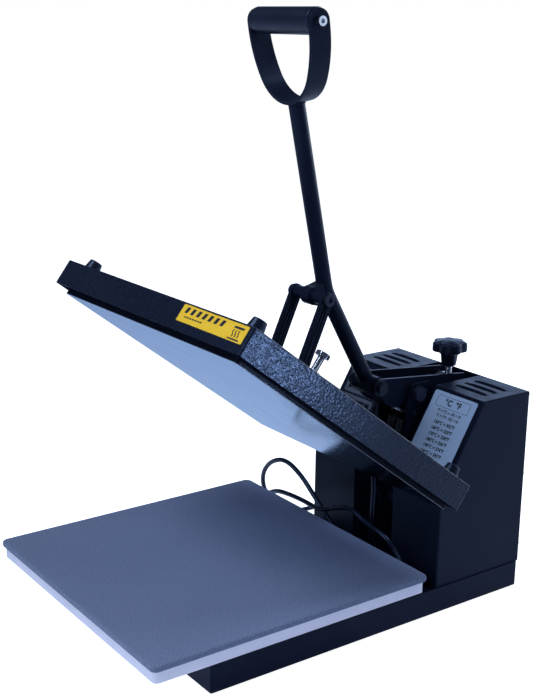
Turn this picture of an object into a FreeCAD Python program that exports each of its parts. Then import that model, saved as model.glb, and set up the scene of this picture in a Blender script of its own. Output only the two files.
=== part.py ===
import FreeCAD, Part
import math
import os

# Clamshell heat press, millimetres, drawn with its upper platen open.
# X runs across the press, +Y to the back, +Z up. It is drawn with the lower platen's centre over
# y = 0, and save() moves every piece so that the origin is the middle of the footprint on the table.
FOOTPRINT_CENTRE_Y = 114.45

V = FreeCAD.Vector

# Linkage, as (y, z) points. The platen, the links and the lever stand in their open positions.
HINGE = (316.3, 104.3)
OPEN_ANGLE = 37.2
LEVER_PIVOT = (247.0, 280.0)
CROSS_TUBE_AXIS = (150.0, 410.0)
LINK_PIN_CLOSED = (21.5, 152.9)
ROCKER_PIVOT = (307.0, 265.0)
SCREW_Y = 391.0
TRUNNION_Z = 262.0
SPRING_POST = (304.0, 236.0)
SPRING_PIN_CLOSED = (250.0, 150.0)
RUNNING = 0.08

# Base
BASE_X = 130.3
BASE_Y = (-81.5, 409.7)
BASE_Z = (2.0, 35.8)
BASE_SHEET = 2.5
FOOT_PLACES = [(-105, -55), (105, -55), (-105, 383), (105, 383)]

# Lower platen
MAT_HALF = 190.0
MAT_THICK = 7.2
MAT_TOP = 98.3
PLATE_HALF = 186.7
PLATE_THICK = 14.6
RAIL_X = 75.0
RAIL_Y = (-75.0, 170.0)
RAIL_BOLTS_Y = (-55.0, 150.0)

# Tower
TOWER_X = (26.0, 31.0)
TOWER_FLOOR = 39.8
TOWER_BOLTS = [(-15, 300), (15, 300), (-15, 385), (15, 385)]

# Control boxes
CHANNEL_X = 40.0
BOX_X = 128.5
BOX_FRONT = 263.0
BOX_REAR = 411.4
BOX_TOP = 274.4
SLANT_LOW = (263.0, 161.0)
SLANT_HIGH = (331.0, 274.4)
BOX_SHEET = 1.5
VENT_Y = (351.0, 368.5, 386.0)
VENT_X = (55.0, 111.0)
BUTTON_X = (-101.0, -84.0, -67.0)
BUTTON_S = 66.0
BUTTON_R = 5.5
SWITCH_AT = (95.0, 80.0)
SWITCH_PIVOT_Y = 407.0
SWITCH_TILT = 8.0
FUSE_AT = (60.0, 80.0)
GLAND_AT = (-85.0, 62.0)

# Upper platen, drawn closed and then opened about the hinge
HEAT_HALF = (189.0, 190.0)
HEAT_Z = (98.6, 113.0)
COVER_X = 203.2
COVER_Y = (-202.0, 193.0)
COVER_Z = (104.7, 137.7)
COVER_SHEET = 1.5
CAP_PLACES = [(-177, -181), (177, -181), (-177, 178), (177, 178)]
ELEMENT_ROWS = (-105, -35, 35, 105)
ELEMENT_R = 4.0
CARRIER_BOLTS = [(-50, -70), (50, -70), (-50, 140), (50, 140)]
CARRIER_TOP = COVER_Z[1] + 5.0
ARM_X = (18.0, 24.0)
LINK_X = (28.5, 33.5)
STOP_BOLT_Y = 63.6
STOP_BOLT_TOP = 199.5

# Lever
LEVER_TOP = (121.4, 645.0)
LEVER_BEND = (171.5, 413.0)
LEVER_R = 10.0
LEVER_BEND_R = 70.0
GRIP_TILT = 9.2
GRIP_RISE = 92.0
GRIP_INNER_X = 56.5
STRAP = 4.0
STRAP_WIDTH = 28.0
SLEEVE_R = 15.5

# Mains cord: radius, and the hand-laid route from the strain relief to the plug
CORD_R = 3.3
CORD_ROUTE = [
    (-85, 447, 62), (-86, 480, 58), (-92, 511, 42), (-109, 536, 21), (-137, 546, 6.5),
    (-166, 535, 3.8), (-185, 504, 3.8), (-190, 462, 3.8), (-180, 416, 3.8), (-172, 366, 3.8),
    (-181, 319, 5), (-200, 281, 14), (-212, 253, 36), (-212, 233, 66), (-199, 222, 98),
    (-174, 218, 124), (-142, 220, 137), (-110, 224, 123), (-84, 228, 99), (-57, 232, 74),
    (-25, 235, 52), (10, 237, 41.5), (46, 239, 40), (78, 238, 40.5), (99, 230, 60),
    (99, 219, 87.5), (78, 211.5, 107), (46, 212, 108), (13, 212, 120), (-21, 213, 106),
    (-53, 213, 92), (-87, 214, 93), (-121, 213, 92), (-153, 214, 87), (-182, 218, 71),
    (-203, 228, 48), (-218, 246, 25), (-228, 275, 9), (-233, 313, 3.8), (-230, 357, 3.8),
    (-238, 401, 4.5), (-243, 440, 9), (-246, 474, 11.2),
]


def box(x0, x1, y0, y1, z0, z1):
    return Part.makeBox(x1 - x0, y1 - y0, z1 - z0, V(x0, y0, z0))


def rod_x(x0, x1, at, r):
    return Part.makeCylinder(r, x1 - x0, V(x0, at[0], at[1]), V(1, 0, 0))


def rod_y(y0, y1, at, r):
    return Part.makeCylinder(r, y1 - y0, V(at[0], y0, at[1]), V(0, 1, 0))


def rod_z(z0, z1, at, r):
    return Part.makeCylinder(r, z1 - z0, V(at[0], at[1], z0))


def rod_between(a, b, r):
    a, b = V(*a), V(*b)
    return Part.makeCylinder(r, (b - a).Length, a, b - a)


def hexagon(across, height):
    """Hexagonal prism standing on z = 0."""
    r = across / math.sqrt(3)
    corners = [V(r * math.cos(math.radians(60 * i)), r * math.sin(math.radians(60 * i)), 0) for i in range(7)]
    return Part.Face(Part.makePolygon(corners)).extrude(V(0, 0, height))


def hex_x(x0, x1, at, across):
    nut = hexagon(across, x1 - x0)
    nut.rotate(V(0, 0, 0), V(0, 1, 0), 90)
    nut.translate(V(x0, at[0], at[1]))
    return nut


def hex_z(z0, z1, at, across):
    nut = hexagon(across, z1 - z0)
    nut.translate(V(at[0], at[1], z0))
    return nut


def rounded_wire(points, radii):
    """Closed wire through points, each corner rounded by its radius (0 keeps it sharp)."""
    if not isinstance(radii, (list, tuple)):
        radii = [radii] * len(points)
    edges = []
    ends = []
    count = len(points)
    for i, corner in enumerate(points):
        before, after = points[i - 1], points[(i + 1) % count]
        u = (before - corner).normalize()
        w = (after - corner).normalize()
        if radii[i] <= 0:
            ends.append((corner, corner, None))
            continue
        half = u.getAngle(w) / 2
        cut = radii[i] / math.tan(half)
        middle = (u + w).normalize()
        centre = corner + middle * (radii[i] / math.sin(half))
        ends.append((corner + u * cut, corner + w * cut, centre - middle * radii[i]))
    for i, (start, end, mid) in enumerate(ends):
        if mid is not None:
            edges.append(Part.Arc(start, mid, end).toShape())
        following = ends[(i + 1) % count][0]
        if (following - end).Length > 1e-6:
            edges.append(Part.LineSegment(end, following).toShape())
    return Part.Wire(edges)


def plate_x(outline, x0, x1, radii=0.0):
    """Plate whose (y, z) outline is extruded from x0 to x1."""
    wire = rounded_wire([V(x0, y, z) for y, z in outline], radii)
    return Part.Face(wire).extrude(V(x1 - x0, 0, 0))


def plate_z(half_x, half_y, z0, z1, r, centre=(0, 0)):
    """Rectangular plate with rounded corners."""
    cx, cy = centre
    corners = [(-half_x, -half_y), (half_x, -half_y), (half_x, half_y), (-half_x, half_y)]
    wire = rounded_wire([V(cx + x, cy + y, z0) for x, y in corners], r)
    return Part.Face(wire).extrude(V(0, 0, z1 - z0))


def slot_z(x0, x1, y, width, z0, z1):
    return plate_z((x1 - x0) / 2, width / 2, z0, z1, width / 2 - 0.01, ((x0 + x1) / 2, y))


def smooth_path(points, radii):
    """Open wire of straight runs joined by tangent arcs."""
    edges = []
    start = points[0]
    for i in range(1, len(points) - 1):
        u = (points[i - 1] - points[i]).normalize()
        w = (points[i + 1] - points[i]).normalize()
        half = u.getAngle(w) / 2
        cut = radii[i - 1] / math.tan(half)
        middle = (u + w).normalize()
        centre = points[i] + middle * (radii[i - 1] / math.sin(half))
        arc_start, arc_end = points[i] + u * cut, points[i] + w * cut
        edges.append(Part.LineSegment(start, arc_start).toShape())
        edges.append(Part.Arc(arc_start, centre - middle * radii[i - 1], arc_end).toShape())
        start = arc_end
    edges.append(Part.LineSegment(start, points[-1]).toShape())
    return Part.Wire(edges)


def sweep_round(wire, r):
    start = wire.OrderedEdges[0]
    tangent = start.tangentAt(start.FirstParameter)
    ring = Part.Wire(Part.makeCircle(r, start.valueAt(start.FirstParameter), tangent))
    return wire.makePipeShell([ring], True, False)


def widest_arcs(points):
    """Bend radii as large as the neighbouring runs allow: 0.45 of the shorter run, tangent to both."""
    radii = []
    for i in range(1, len(points) - 1):
        u, w = points[i - 1] - points[i], points[i + 1] - points[i]
        half_turn = (math.pi - u.getAngle(w)) / 2
        radii.append(0.45 * min(u.Length, w.Length) / math.tan(half_turn))
    return radii


def fuse(first, *others):
    return first.fuse(list(others)).removeSplitter()


def mirrored(shape):
    """The same piece on the other side of the x = 0 plane."""
    return shape.mirror(V(0, 0, 0), V(1, 0, 0))


def pair(shape):
    return Part.makeCompound([shape, mirrored(shape)])


def opened(shape):
    """Turn a piece drawn closed about the hinge into its open position."""
    turned = shape.copy()
    turned.rotate(V(0, *HINGE), V(1, 0, 0), -OPEN_ANGLE)
    return turned


def opened_point(at):
    a = math.radians(OPEN_ANGLE)
    y, z = at[0] - HINGE[0], at[1] - HINGE[1]
    return (HINGE[0] + y * math.cos(a) + z * math.sin(a), HINGE[1] - y * math.sin(a) + z * math.cos(a))


def on_slant(shape):
    """Place a piece on the slanted box faces. It is drawn with x across, y down the slope and z out."""
    drop = V(0, SLANT_LOW[0] - SLANT_HIGH[0], SLANT_LOW[1] - SLANT_HIGH[1]).normalize()
    out = V(0, drop.z, -drop.y)
    placed = shape.mirror(V(0, 0, 0), V(0, 1, 0))
    placed.transformShape(FreeCAD.Matrix(1, 0, 0, 0,
                                         0, -drop.y, out.y, SLANT_HIGH[0],
                                         0, -drop.z, out.z, SLANT_HIGH[1],
                                         0, 0, 0, 1))
    return placed


# ---------------------------------------------------------------- base and lower platen

def base_frame():
    tray = box(-BASE_X, BASE_X, *BASE_Y, *BASE_Z)
    inside = box(-BASE_X + BASE_SHEET, BASE_X - BASE_SHEET,
                 BASE_Y[0] + BASE_SHEET, BASE_Y[1] - BASE_SHEET, 0, BASE_Z[1] - BASE_SHEET)
    tray = tray.cut(inside)
    upright = [e for e in tray.Edges if abs(e.tangentAt(e.FirstParameter).z) > 0.99
               and abs(abs(e.CenterOfMass.x) - BASE_X) < 0.01]
    tray = tray.makeFillet(2.0, upright)
    cuts = [rod_z(30, 40, at, 3.2) for at in rail_bolt_places()]
    cuts += [rod_z(30, 40, at, 4.0) for at in TOWER_BOLTS]
    cuts += [rod_z(30, 40, (0, 270), 6.5)]
    cuts += [rod_z(30, 40, at, 2.6) for at in FOOT_PLACES]
    return tray.cut(cuts)


def rubber_feet():
    feet = []
    for at in FOOT_PLACES:
        pad = Part.makeCone(15, 17, 8, V(at[0], at[1], 0))
        stem = rod_z(8, BASE_Z[1] - BASE_SHEET, at, 12)
        peg = rod_z(BASE_Z[1] - BASE_SHEET, BASE_Z[1] + 3, at, 2.6)
        feet.append(fuse(pad, stem, peg))
    return Part.makeCompound(feet)


def rail_bolt_places():
    return [(x, y) for x in (-RAIL_X, RAIL_X) for y in RAIL_BOLTS_Y]


def platen_rails():
    top = MAT_TOP - MAT_THICK - PLATE_THICK
    half, wall = 20, 3
    block = box(RAIL_X - half, RAIL_X + half, *RAIL_Y, BASE_Z[1], top)
    hollow = box(RAIL_X - half + wall, RAIL_X + half, RAIL_Y[0], RAIL_Y[1], BASE_Z[1] + wall, top - wall)
    rail = block.cut(hollow)
    holes = [rod_z(30, 90, (RAIL_X, y), 3.2) for y in RAIL_BOLTS_Y]
    return pair(rail.cut(holes))


def base_bolts():
    """Hex bolts that hold the platen rails to the base, and the tower to the base."""
    bolts = []
    for at in rail_bolt_places():
        bolts.append(fuse(hex_z(38.8, 43, at, 10), rod_z(26, 38.8, at, 3.0)))
    for at in rail_bolt_places():
        top = MAT_TOP - MAT_THICK - PLATE_THICK
        bolts.append(fuse(hex_z(top - 7.2, top - 3, at, 10), rod_z(top - 3, top + 9, at, 3.0)))
    for at in TOWER_BOLTS:
        bolts.append(fuse(hex_z(TOWER_FLOOR, TOWER_FLOOR + 5.3, at, 13), rod_z(24, TOWER_FLOOR, at, 4.0)))
    return Part.makeCompound(bolts)


def lower_platen():
    top = MAT_TOP - MAT_THICK
    plate = plate_z(PLATE_HALF, PLATE_HALF, top - PLATE_THICK, top, 6)
    holes = [rod_z(top - PLATE_THICK, top - PLATE_THICK + 9, at, 3.0) for at in rail_bolt_places()]
    return plate.cut(holes)


def silicone_mat():
    mat = plate_z(MAT_HALF, MAT_HALF, MAT_TOP - MAT_THICK, MAT_TOP, 7)
    rim = [e for e in mat.Edges if abs(e.BoundBox.ZMin - MAT_TOP) < 0.01 and abs(e.BoundBox.ZMax - MAT_TOP) < 0.01]
    return mat.makeFillet(1.2, rim)


# ---------------------------------------------------------------- tower

def tower_foot_plate():
    plate = plate_z(38, 74, BASE_Z[1], TOWER_FLOOR, 4, (0, 331))
    cuts = [rod_z(30, 50, at, 4.0) for at in TOWER_BOLTS]
    cuts.append(rod_z(30, 50, (0, 270), 6.5))
    return plate.cut(cuts)


def tower_plates():
    outline = [(283, TOWER_FLOOR), (404, TOWER_FLOOR), (404, 244), (346, 250),
               (331, 278), (298, 278), (290, 250), (285, 140)]
    plate = plate_x(outline, *TOWER_X, [2, 2, 10, 20, 6, 6, 20, 20])
    cuts = [rod_x(20, 40, HINGE, 8.0), rod_x(20, 40, ROCKER_PIVOT, 6.0), rod_x(20, 40, SPRING_POST, 4.0)]
    cuts.append(plate_x([(345, 90), (385, 90), (385, 190), (345, 190)], 20, 40, 12))
    return pair(plate.cut(cuts))


def thrust_block():
    block = box(-TOWER_X[0], TOWER_X[0], SCREW_Y - 12, SCREW_Y + 12, 222, 238)
    return block.cut(rod_z(200, 250, (0, SCREW_Y), 5.0 + RUNNING))


def hinge_pin():
    """Hinge pin with a circlip in a groove outside each tower plate."""
    pin = rod_x(-36, 36, HINGE, 8.0)
    grooves = [rod_x(x, x + 1.4, HINGE, 10).cut(rod_x(x, x + 1.4, HINGE, 7.3)) for x in (32.4, -33.8)]
    clips = []
    for x in (32.5, -33.7):
        ring = rod_x(x, x + 1.2, HINGE, 11.5).cut(rod_x(x, x + 1.2, HINGE, 7.4))
        clips.append(ring.cut(box(x - 1, x + 3, HINGE[0] - 2.5, HINGE[0] + 2.5, HINGE[1] + 3, HINGE[1] + 14)))
    return Part.makeCompound([pin.cut(grooves)] + clips)


def rocker_pivot_bolt():
    bolt = fuse(hex_x(TOWER_X[1], 38.5, ROCKER_PIVOT, 18), rod_x(-38.5, TOWER_X[1], ROCKER_PIVOT, 6.0))
    nut = hex_x(-37.8, -TOWER_X[1], ROCKER_PIVOT, 18).cut(rod_x(-40, -20, ROCKER_PIVOT, 6.0))
    return Part.makeCompound([bolt, nut])


def spring_post():
    return rod_x(-TOWER_X[1] - 2, TOWER_X[1] + 2, SPRING_POST, 4.0)


# ---------------------------------------------------------------- control boxes

def box_outline(inset=0.0, floor=BASE_Z[1], rear=BOX_REAR):
    """(y, z) outline of a control box, inset by a sheet thickness where asked."""
    slope = math.atan2(SLANT_HIGH[1] - SLANT_LOW[1], SLANT_HIGH[0] - SLANT_LOW[0])
    low_shift = inset * math.tan((math.pi / 2 - slope) / 2)
    high_shift = inset * math.tan(slope / 2)
    return [(BOX_FRONT + inset, floor), (rear, floor), (rear, BOX_TOP - inset),
            (SLANT_HIGH[0] + high_shift, BOX_TOP - inset),
            (BOX_FRONT + inset, SLANT_LOW[1] - low_shift)]


def right_box_shell():
    shell = plate_x(box_outline(), CHANNEL_X, BOX_X)
    outer = [e for e in shell.Edges if abs(e.CenterOfMass.x - BOX_X) < 0.01 and e.CenterOfMass.z > 60
             and e.CenterOfMass.y < BOX_REAR - 1]
    shell = shell.makeFillet(2.0, outer)
    inside = plate_x(box_outline(BOX_SHEET, BASE_Z[1] - 5, BOX_REAR - BOX_SHEET),
                     CHANNEL_X + BOX_SHEET, BOX_X - BOX_SHEET)
    flange = 9
    doorway = box(CHANNEL_X + flange, BOX_X - flange, BOX_REAR - 5, BOX_REAR + 5, BASE_Z[1] + flange, BOX_TOP - flange)
    vents = [slot_z(*VENT_X, y, 4.4, BOX_TOP - 5, BOX_TOP + 5) for y in VENT_Y]
    screws = [rod_y(BOX_REAR - 5, BOX_REAR + 5, at, 2.0) for at in rear_screw_places() if at[0] > 0]
    return shell.cut([inside, doorway] + vents + screws)


def left_box_shell():
    shell = mirrored(right_box_shell())
    window = on_slant(plate_z(26, 31, -8, 8, 2, (-84, 52)))
    return shell.cut([window])


def rear_screw_places():
    return [(side * x, z) for side in (-1, 1) for x in (45.0, 123.5) for z in (60.0, 160.0, 269.5)]


def rear_panel():
    panel = box(-BOX_X, BOX_X, BOX_REAR, BOX_REAR + BOX_SHEET, BASE_Z[1], BOX_TOP)
    y0, y1 = BOX_REAR - 5, BOX_REAR + 5
    cuts = [box(SWITCH_AT[0] - 10.2, SWITCH_AT[0] + 10.2, y0, y1, SWITCH_AT[1] - 14.2, SWITCH_AT[1] + 14.2)]
    cuts += [rod_y(y0, y1, FUSE_AT, 6.0), rod_y(y0, y1, GLAND_AT, 7.0)]
    cuts += [rod_y(y0, y1, at, 2.0) for at in rear_screw_places()]
    for side in (-1, 1):
        for row in range(6):
            z = 190 + 11 * row
            centre = side * 84
            cuts.append(box(centre - 24, centre + 24, y0, y1, z, z + 4))
    return panel.cut(cuts)


def rear_panel_screws():
    screws = []
    for at in rear_screw_places():
        head = rod_y(BOX_REAR + BOX_SHEET, BOX_REAR + BOX_SHEET + 2.2, at, 3.6)
        cross = [box(at[0] - 2, at[0] + 2, BOX_REAR + BOX_SHEET + 1.2, BOX_REAR + 10, at[1] - 0.5, at[1] + 0.5),
                 box(at[0] - 0.5, at[0] + 0.5, BOX_REAR + BOX_SHEET + 1.2, BOX_REAR + 10, at[1] - 2, at[1] + 2)]
        screws.append(fuse(head, rod_y(BOX_REAR - 7, BOX_REAR + BOX_SHEET, at, 2.0)).cut(cross))
    return Part.makeCompound(screws)


def conversion_plate():
    return on_slant(plate_z(38.5, 45, 0, 0.8, 3.5, (82.5, 50)))


def controller_bezel():
    bezel = plate_z(38, 46.5, 0, 2.2, 4, (-84, 52))
    recess = plate_z(27, 14, 1.2, 4, 2, (-84, 30))
    opening = plate_z(23, 10, -2, 4, 1, (-84, 30))
    holes = [rod_z(-2, 5, (x, BUTTON_S), BUTTON_R + 0.3) for x in BUTTON_X]
    return on_slant(bezel.cut([recess, opening] + holes))


def display_window():
    return on_slant(plate_z(26.9, 13.9, 1.2, 2.0, 2, (-84, 30)))


def control_board():
    """Circuit board with the display module and three key switches, held behind the bezel."""
    board = plate_z(25, 30, -12, -10.4, 1, (-84, 52))
    display = box(-84 - 22, -84 + 22, 21, 39, -10.4, -1)
    keys = [box(x - 3, x + 3, BUTTON_S - 3, BUTTON_S + 3, -10.4, -6.8) for x in BUTTON_X]
    posts = [rod_z(-10.4, 0, (-84 + dx, 52 + dy), 1.8) for dx in (-23, 23) for dy in (-28, 28)]
    return on_slant(fuse(board, display, *keys, *posts))


def button(x):
    """Push button: cap, retaining flange behind the bezel, and the stem over its key switch."""
    cap = rod_z(-0.4, 4.2, (x, BUTTON_S), BUTTON_R)
    cap = cap.makeFillet(1.0, [e for e in cap.Edges if e.CenterOfMass.z > 4.1])
    flange = rod_z(-1.9, -0.4, (x, BUTTON_S), BUTTON_R + 1.3)
    stem = rod_z(-4.8, -1.9, (x, BUTTON_S), 2.0)
    return on_slant(fuse(cap, flange, stem))


def solid_state_relay():
    body = box(58, 103, 305, 363, BASE_Z[1] + 16, BASE_Z[1] + 42)
    sink = box(54, 107, 300, 368, BASE_Z[1], BASE_Z[1] + 4)
    fins = [box(56 + 8 * i, 59 + 8 * i, 300, 368, BASE_Z[1] + 4, BASE_Z[1] + 16) for i in range(7)]
    posts = [rod_z(BASE_Z[1] + 42, BASE_Z[1] + 47, (x, y), 3.5) for x in (66, 95) for y in (312, 356)]
    return fuse(body, sink, *fins, *posts)


def power_switch_body():
    x, z = SWITCH_AT
    bezel = box(x - 12.5, x + 12.5, BOX_REAR + BOX_SHEET, BOX_REAR + BOX_SHEET + 2.5, z - 16, z + 16)
    bezel = bezel.makeFillet(1.0, [e for e in bezel.Edges if e.CenterOfMass.y > BOX_REAR + 3])
    body = box(x - 10, x + 10, 390, BOX_REAR + BOX_SHEET, z - 14, z + 14)
    well = box(x - 8.4, x + 8.4, 396, 420, z - 12.6, z + 12.6)
    tabs = [box(x - 3.2, x + 3.2, 380, 390, z + dz - 0.4, z + dz + 0.4) for dz in (-9, 0, 9)]
    return fuse(bezel, body).cut(well).fuse(tabs).removeSplitter()


def power_switch_rocker():
    x, z = SWITCH_AT
    outline = [(405, z - 9), (414.6, z - 10.6), (413.0, z), (414.6, z + 10.6), (405, z + 9)]
    key = plate_x(outline, x - 8, x + 8, [1, 1, 0, 1, 1])
    axle = rod_x(x - 8.3, x + 8.3, (SWITCH_PIVOT_Y, z), 1.5)
    key = fuse(key, axle)
    key.rotate(V(x, SWITCH_PIVOT_Y, z), V(1, 0, 0), -SWITCH_TILT)
    return key


def fuse_holder():
    barrel = rod_y(382, BOX_REAR + BOX_SHEET, FUSE_AT, 6.0)
    collar = rod_y(BOX_REAR + BOX_SHEET, BOX_REAR + BOX_SHEET + 2, FUSE_AT, 9)
    cap = rod_y(BOX_REAR + BOX_SHEET + 2, BOX_REAR + BOX_SHEET + 6, FUSE_AT, 7)
    groove = box(FUSE_AT[0] - 8, FUSE_AT[0] + 8, BOX_REAR + BOX_SHEET + 5, 430, FUSE_AT[1] - 0.7, FUSE_AT[1] + 0.7)
    return fuse(barrel, collar, cap).cut([groove])


# ---------------------------------------------------------------- mains cord

def cord_strain_relief():
    x, z = GLAND_AT
    start = BOX_REAR + BOX_SHEET
    end = CORD_ROUTE[0][1]
    inner = rod_y(start - 8, start, GLAND_AT, 7.0)
    collar = rod_y(start, start + 3, GLAND_AT, 10)
    sleeve = Part.makeCone(7.5, 4.8, end - start - 3, V(x, start + 3, z), V(0, 1, 0))
    ribs = [rod_y(start + 6 + 5 * i, start + 7.6 + 5 * i, GLAND_AT, 7.6 - 0.45 * i) for i in range(5)]
    return fuse(inner, collar, sleeve, *ribs)


def mains_cord():
    points = [V(*p) for p in CORD_ROUTE]
    radii = widest_arcs(points)
    path = smooth_path(points, radii)
    cord = sweep_round(path, CORD_R)
    print("cord length %.0f, smallest radius %.1f, radii %s" % (path.Length, min(radii), [round(r) for r in radii]))
    print("cord volume / (section x length) = %.4f" % (cord.Volume / (math.pi * CORD_R ** 2 * path.Length)))
    return cord


def mains_plug():
    """Moulded plug with two flat blades and a round earth pin, lying on the table."""
    end, before = V(*CORD_ROUTE[-1]), V(*CORD_ROUTE[-2])
    relief = Part.makeCone(4.6, 7.5, 16)
    body = plate_z(13, 11, 16, 42, 6)
    body = body.makeFillet(2.0, [e for e in body.Edges if e.BoundBox.ZLength < 0.01])
    blades = [box(x - 0.8, x + 0.8, -7.2, -0.8, 42, 59) for x in (-6.35, 6.35)]
    earth = rod_z(42, 62, (0, 6.5), 2.4)
    plug = fuse(relief, body, *blades, earth)
    along = (end - before).normalize()
    across = V(0, 0, 1).cross(along).normalize()
    up = along.cross(across)
    plug.transformShape(FreeCAD.Matrix(across.x, up.x, along.x, end.x,
                                       across.y, up.y, along.y, end.y,
                                       across.z, up.z, along.z, end.z,
                                       0, 0, 0, 1))
    return plug


# ---------------------------------------------------------------- upper platen (drawn closed)

def heating_plate():
    plate = plate_z(*HEAT_HALF, *HEAT_Z, 5)
    holes = [rod_z(HEAT_Z[0] + 6, 150, at, 3.0) for at in CAP_PLACES]
    holes += [rod_z(HEAT_Z[0] + 6, 150, at, 4.0) for at in CARRIER_BOLTS]
    return plate.cut(holes)


def heating_element():
    """Sheathed element laid to and fro over the plate, its cold ends turned up at the back."""
    z = HEAT_Z[1] + ELEMENT_R
    reach = 140
    points = []
    for i, y in enumerate(ELEMENT_ROWS):
        side = 1 if i % 2 == 0 else -1
        points += [V(-side * reach, y, z), V(side * reach, y, z)]
    points.insert(0, V(-160, ELEMENT_ROWS[0], z))
    points.append(V(-160, ELEMENT_ROWS[-1], z))
    corners = points[:1] + points[2:-2] + points[-1:]
    return sweep_round(smooth_path(corners, [20] * (len(corners) - 2)), ELEMENT_R)


def insulation_blanket():
    blanket = plate_z(172, 168, HEAT_Z[1] + 2 * ELEMENT_R, COVER_Z[1] - COVER_SHEET, 10)
    return blanket.cut([rod_z(100, 150, at, 8.2) for at in CARRIER_BOLTS])


def plate_studs():
    """Shouldered studs that hang the heating plate below the cover at its corners."""
    studs = []
    for at in CAP_PLACES:
        thread = rod_z(HEAT_Z[0] + 6, COVER_Z[1] + 8, at, 3.0)
        spacer = rod_z(HEAT_Z[1], COVER_Z[1] - COVER_SHEET, at, 6.5)
        studs.append(fuse(thread, spacer))
    return Part.makeCompound(studs)


def platen_cover():
    outer = plate_z(COVER_X, (COVER_Y[1] - COVER_Y[0]) / 2, *COVER_Z, 3, (0, sum(COVER_Y) / 2))
    top_rim = [e for e in outer.Edges if e.BoundBox.ZMin > COVER_Z[1] - 0.01]
    outer = outer.makeFillet(1.6, top_rim)
    inner = plate_z(COVER_X - COVER_SHEET, (COVER_Y[1] - COVER_Y[0]) / 2 - COVER_SHEET,
                    COVER_Z[0] - 5, COVER_Z[1] - COVER_SHEET, 2, (0, sum(COVER_Y) / 2))
    cuts = [inner]
    cuts += [rod_z(130, 145, at, 3.0) for at in CAP_PLACES]
    cuts += [rod_z(130, 145, at, 4.0) for at in CARRIER_BOLTS]
    cuts += [rod_y(COVER_Y[1] - 5, COVER_Y[1] + 5, (0, 121), 5.0)]
    return outer.cut(cuts)


def cover_caps():
    caps = []
    for at in CAP_PLACES:
        cap = Part.makeCone(10.5, 8.0, 13.5, V(at[0], at[1], COVER_Z[1]))
        cap = cap.makeFillet(1.5, [e for e in cap.Edges if e.CenterOfMass.z > COVER_Z[1] + 13])
        caps.append(cap.cut(rod_z(COVER_Z[1], COVER_Z[1] + 8, at, 3.0)))
    return Part.makeCompound(caps)


def warning_plate():
    """Thin plain plate on the cover's front face."""
    wire = rounded_wire([V(75, COVER_Y[0], 115.2), V(197, COVER_Y[0], 115.2),
                         V(197, COVER_Y[0], 135.2), V(75, COVER_Y[0], 135.2)], 1.0)
    return Part.Face(wire).extrude(V(0, -0.5, 0))


def carrier_base():
    plate = plate_z(62, 120, COVER_Z[1], CARRIER_TOP, 6, (0, 35))
    return plate.cut([rod_z(130, 150, at, 4.0) for at in CARRIER_BOLTS])


def carrier_bolts():
    bolts = []
    for at in CARRIER_BOLTS:
        head = hex_z(CARRIER_TOP, CARRIER_TOP + 5.3, at, 13)
        shank = rod_z(HEAT_Z[0] + 6, CARRIER_TOP, at, 4.0)
        spacer = rod_z(HEAT_Z[1], COVER_Z[1] - COVER_SHEET, at, 8.0)
        bolts.append(fuse(head, shank, spacer))
    return Part.makeCompound(bolts)


def carrier_arms():
    """Two arms from the hinge over the cover, and the bridge between them that holds the stop bolt."""
    outline = [(-30, CARRIER_TOP), (-30, 154), (8, 168.5), (205, 172), (275, 156),
               (333, 118), (333, 92), (318, 84), (300, 88), (262, 112), (214, CARRIER_TOP)]
    arm = plate_x(outline, *ARM_X, [1, 8, 12, 30, 30, 10, 8, 8, 14, 20, 14])
    cuts = [rod_x(10, 30, HINGE, 8.0 + RUNNING), rod_x(10, 30, LINK_PIN_CLOSED, 5.0),
            rod_x(10, 30, SPRING_PIN_CLOSED, 4.0)]
    arm = arm.cut(cuts)
    bridge = box(-ARM_X[0], ARM_X[0], STOP_BOLT_Y - 13, STOP_BOLT_Y + 13, 158, 167)
    return Part.makeCompound([arm, mirrored(arm), bridge.cut(rod_z(150, 180, (0, STOP_BOLT_Y), 5.0))])


def stop_bolt():
    """Bright adjusting bolt on the bridge, locked by a nut. The closed lever stops just above it."""
    at = (0, STOP_BOLT_Y)
    bolt = fuse(hex_z(STOP_BOLT_TOP - 6.4, STOP_BOLT_TOP, at, 17), rod_z(152, STOP_BOLT_TOP - 6.4, at, 5.0))
    nut = hex_z(167, 173, at, 17).cut(rod_z(160, 180, at, 5.0))
    return Part.makeCompound([bolt, nut])


def hinge_tube():
    return rod_x(-ARM_X[0], ARM_X[0], HINGE, 13).cut(rod_x(-30, 30, HINGE, 8.0 + RUNNING))


def carrier_pins():
    """Link pin with its two heads and spacing collars, and the pin that the springs pull on."""
    link_pin = rod_x(-34.5, 34.5, LINK_PIN_CLOSED, 5.0)
    collars = [rod_x(24, 28.1, LINK_PIN_CLOSED, 9), rod_x(-28.1, -24, LINK_PIN_CLOSED, 9)]
    heads = [rod_x(33.9, 37.5, LINK_PIN_CLOSED, 8), rod_x(-37.5, -33.9, LINK_PIN_CLOSED, 8)]
    spring_pin = rod_x(-ARM_X[1], ARM_X[1], SPRING_PIN_CLOSED, 4.0)
    return Part.makeCompound([fuse(link_pin, *collars, *heads), spring_pin])


def lead_gland():
    nut = rod_y(COVER_Y[1], COVER_Y[1] + 9, (0, 121), 8)
    return fuse(nut, rod_y(COVER_Y[1] - 8, COVER_Y[1], (0, 121), 5.0)).cut(rod_y(150, 230, (0, 121), 4.0))


def heater_lead():
    """Flexible heater lead from the cover's gland down to the hole in the base."""
    y, z = opened_point((COVER_Y[1] + 9, 121))
    slope = math.radians(OPEN_ANGLE)
    points = [V(0, y, z), V(0, y + 24 * math.cos(slope), z - 24 * math.sin(slope)),
              V(0, 268, 138), V(0, 262, 90), V(0, 270, 60), V(0, 270, BASE_Z[1] - 6)]
    return sweep_round(smooth_path(points, widest_arcs(points)), 4.0)


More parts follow.
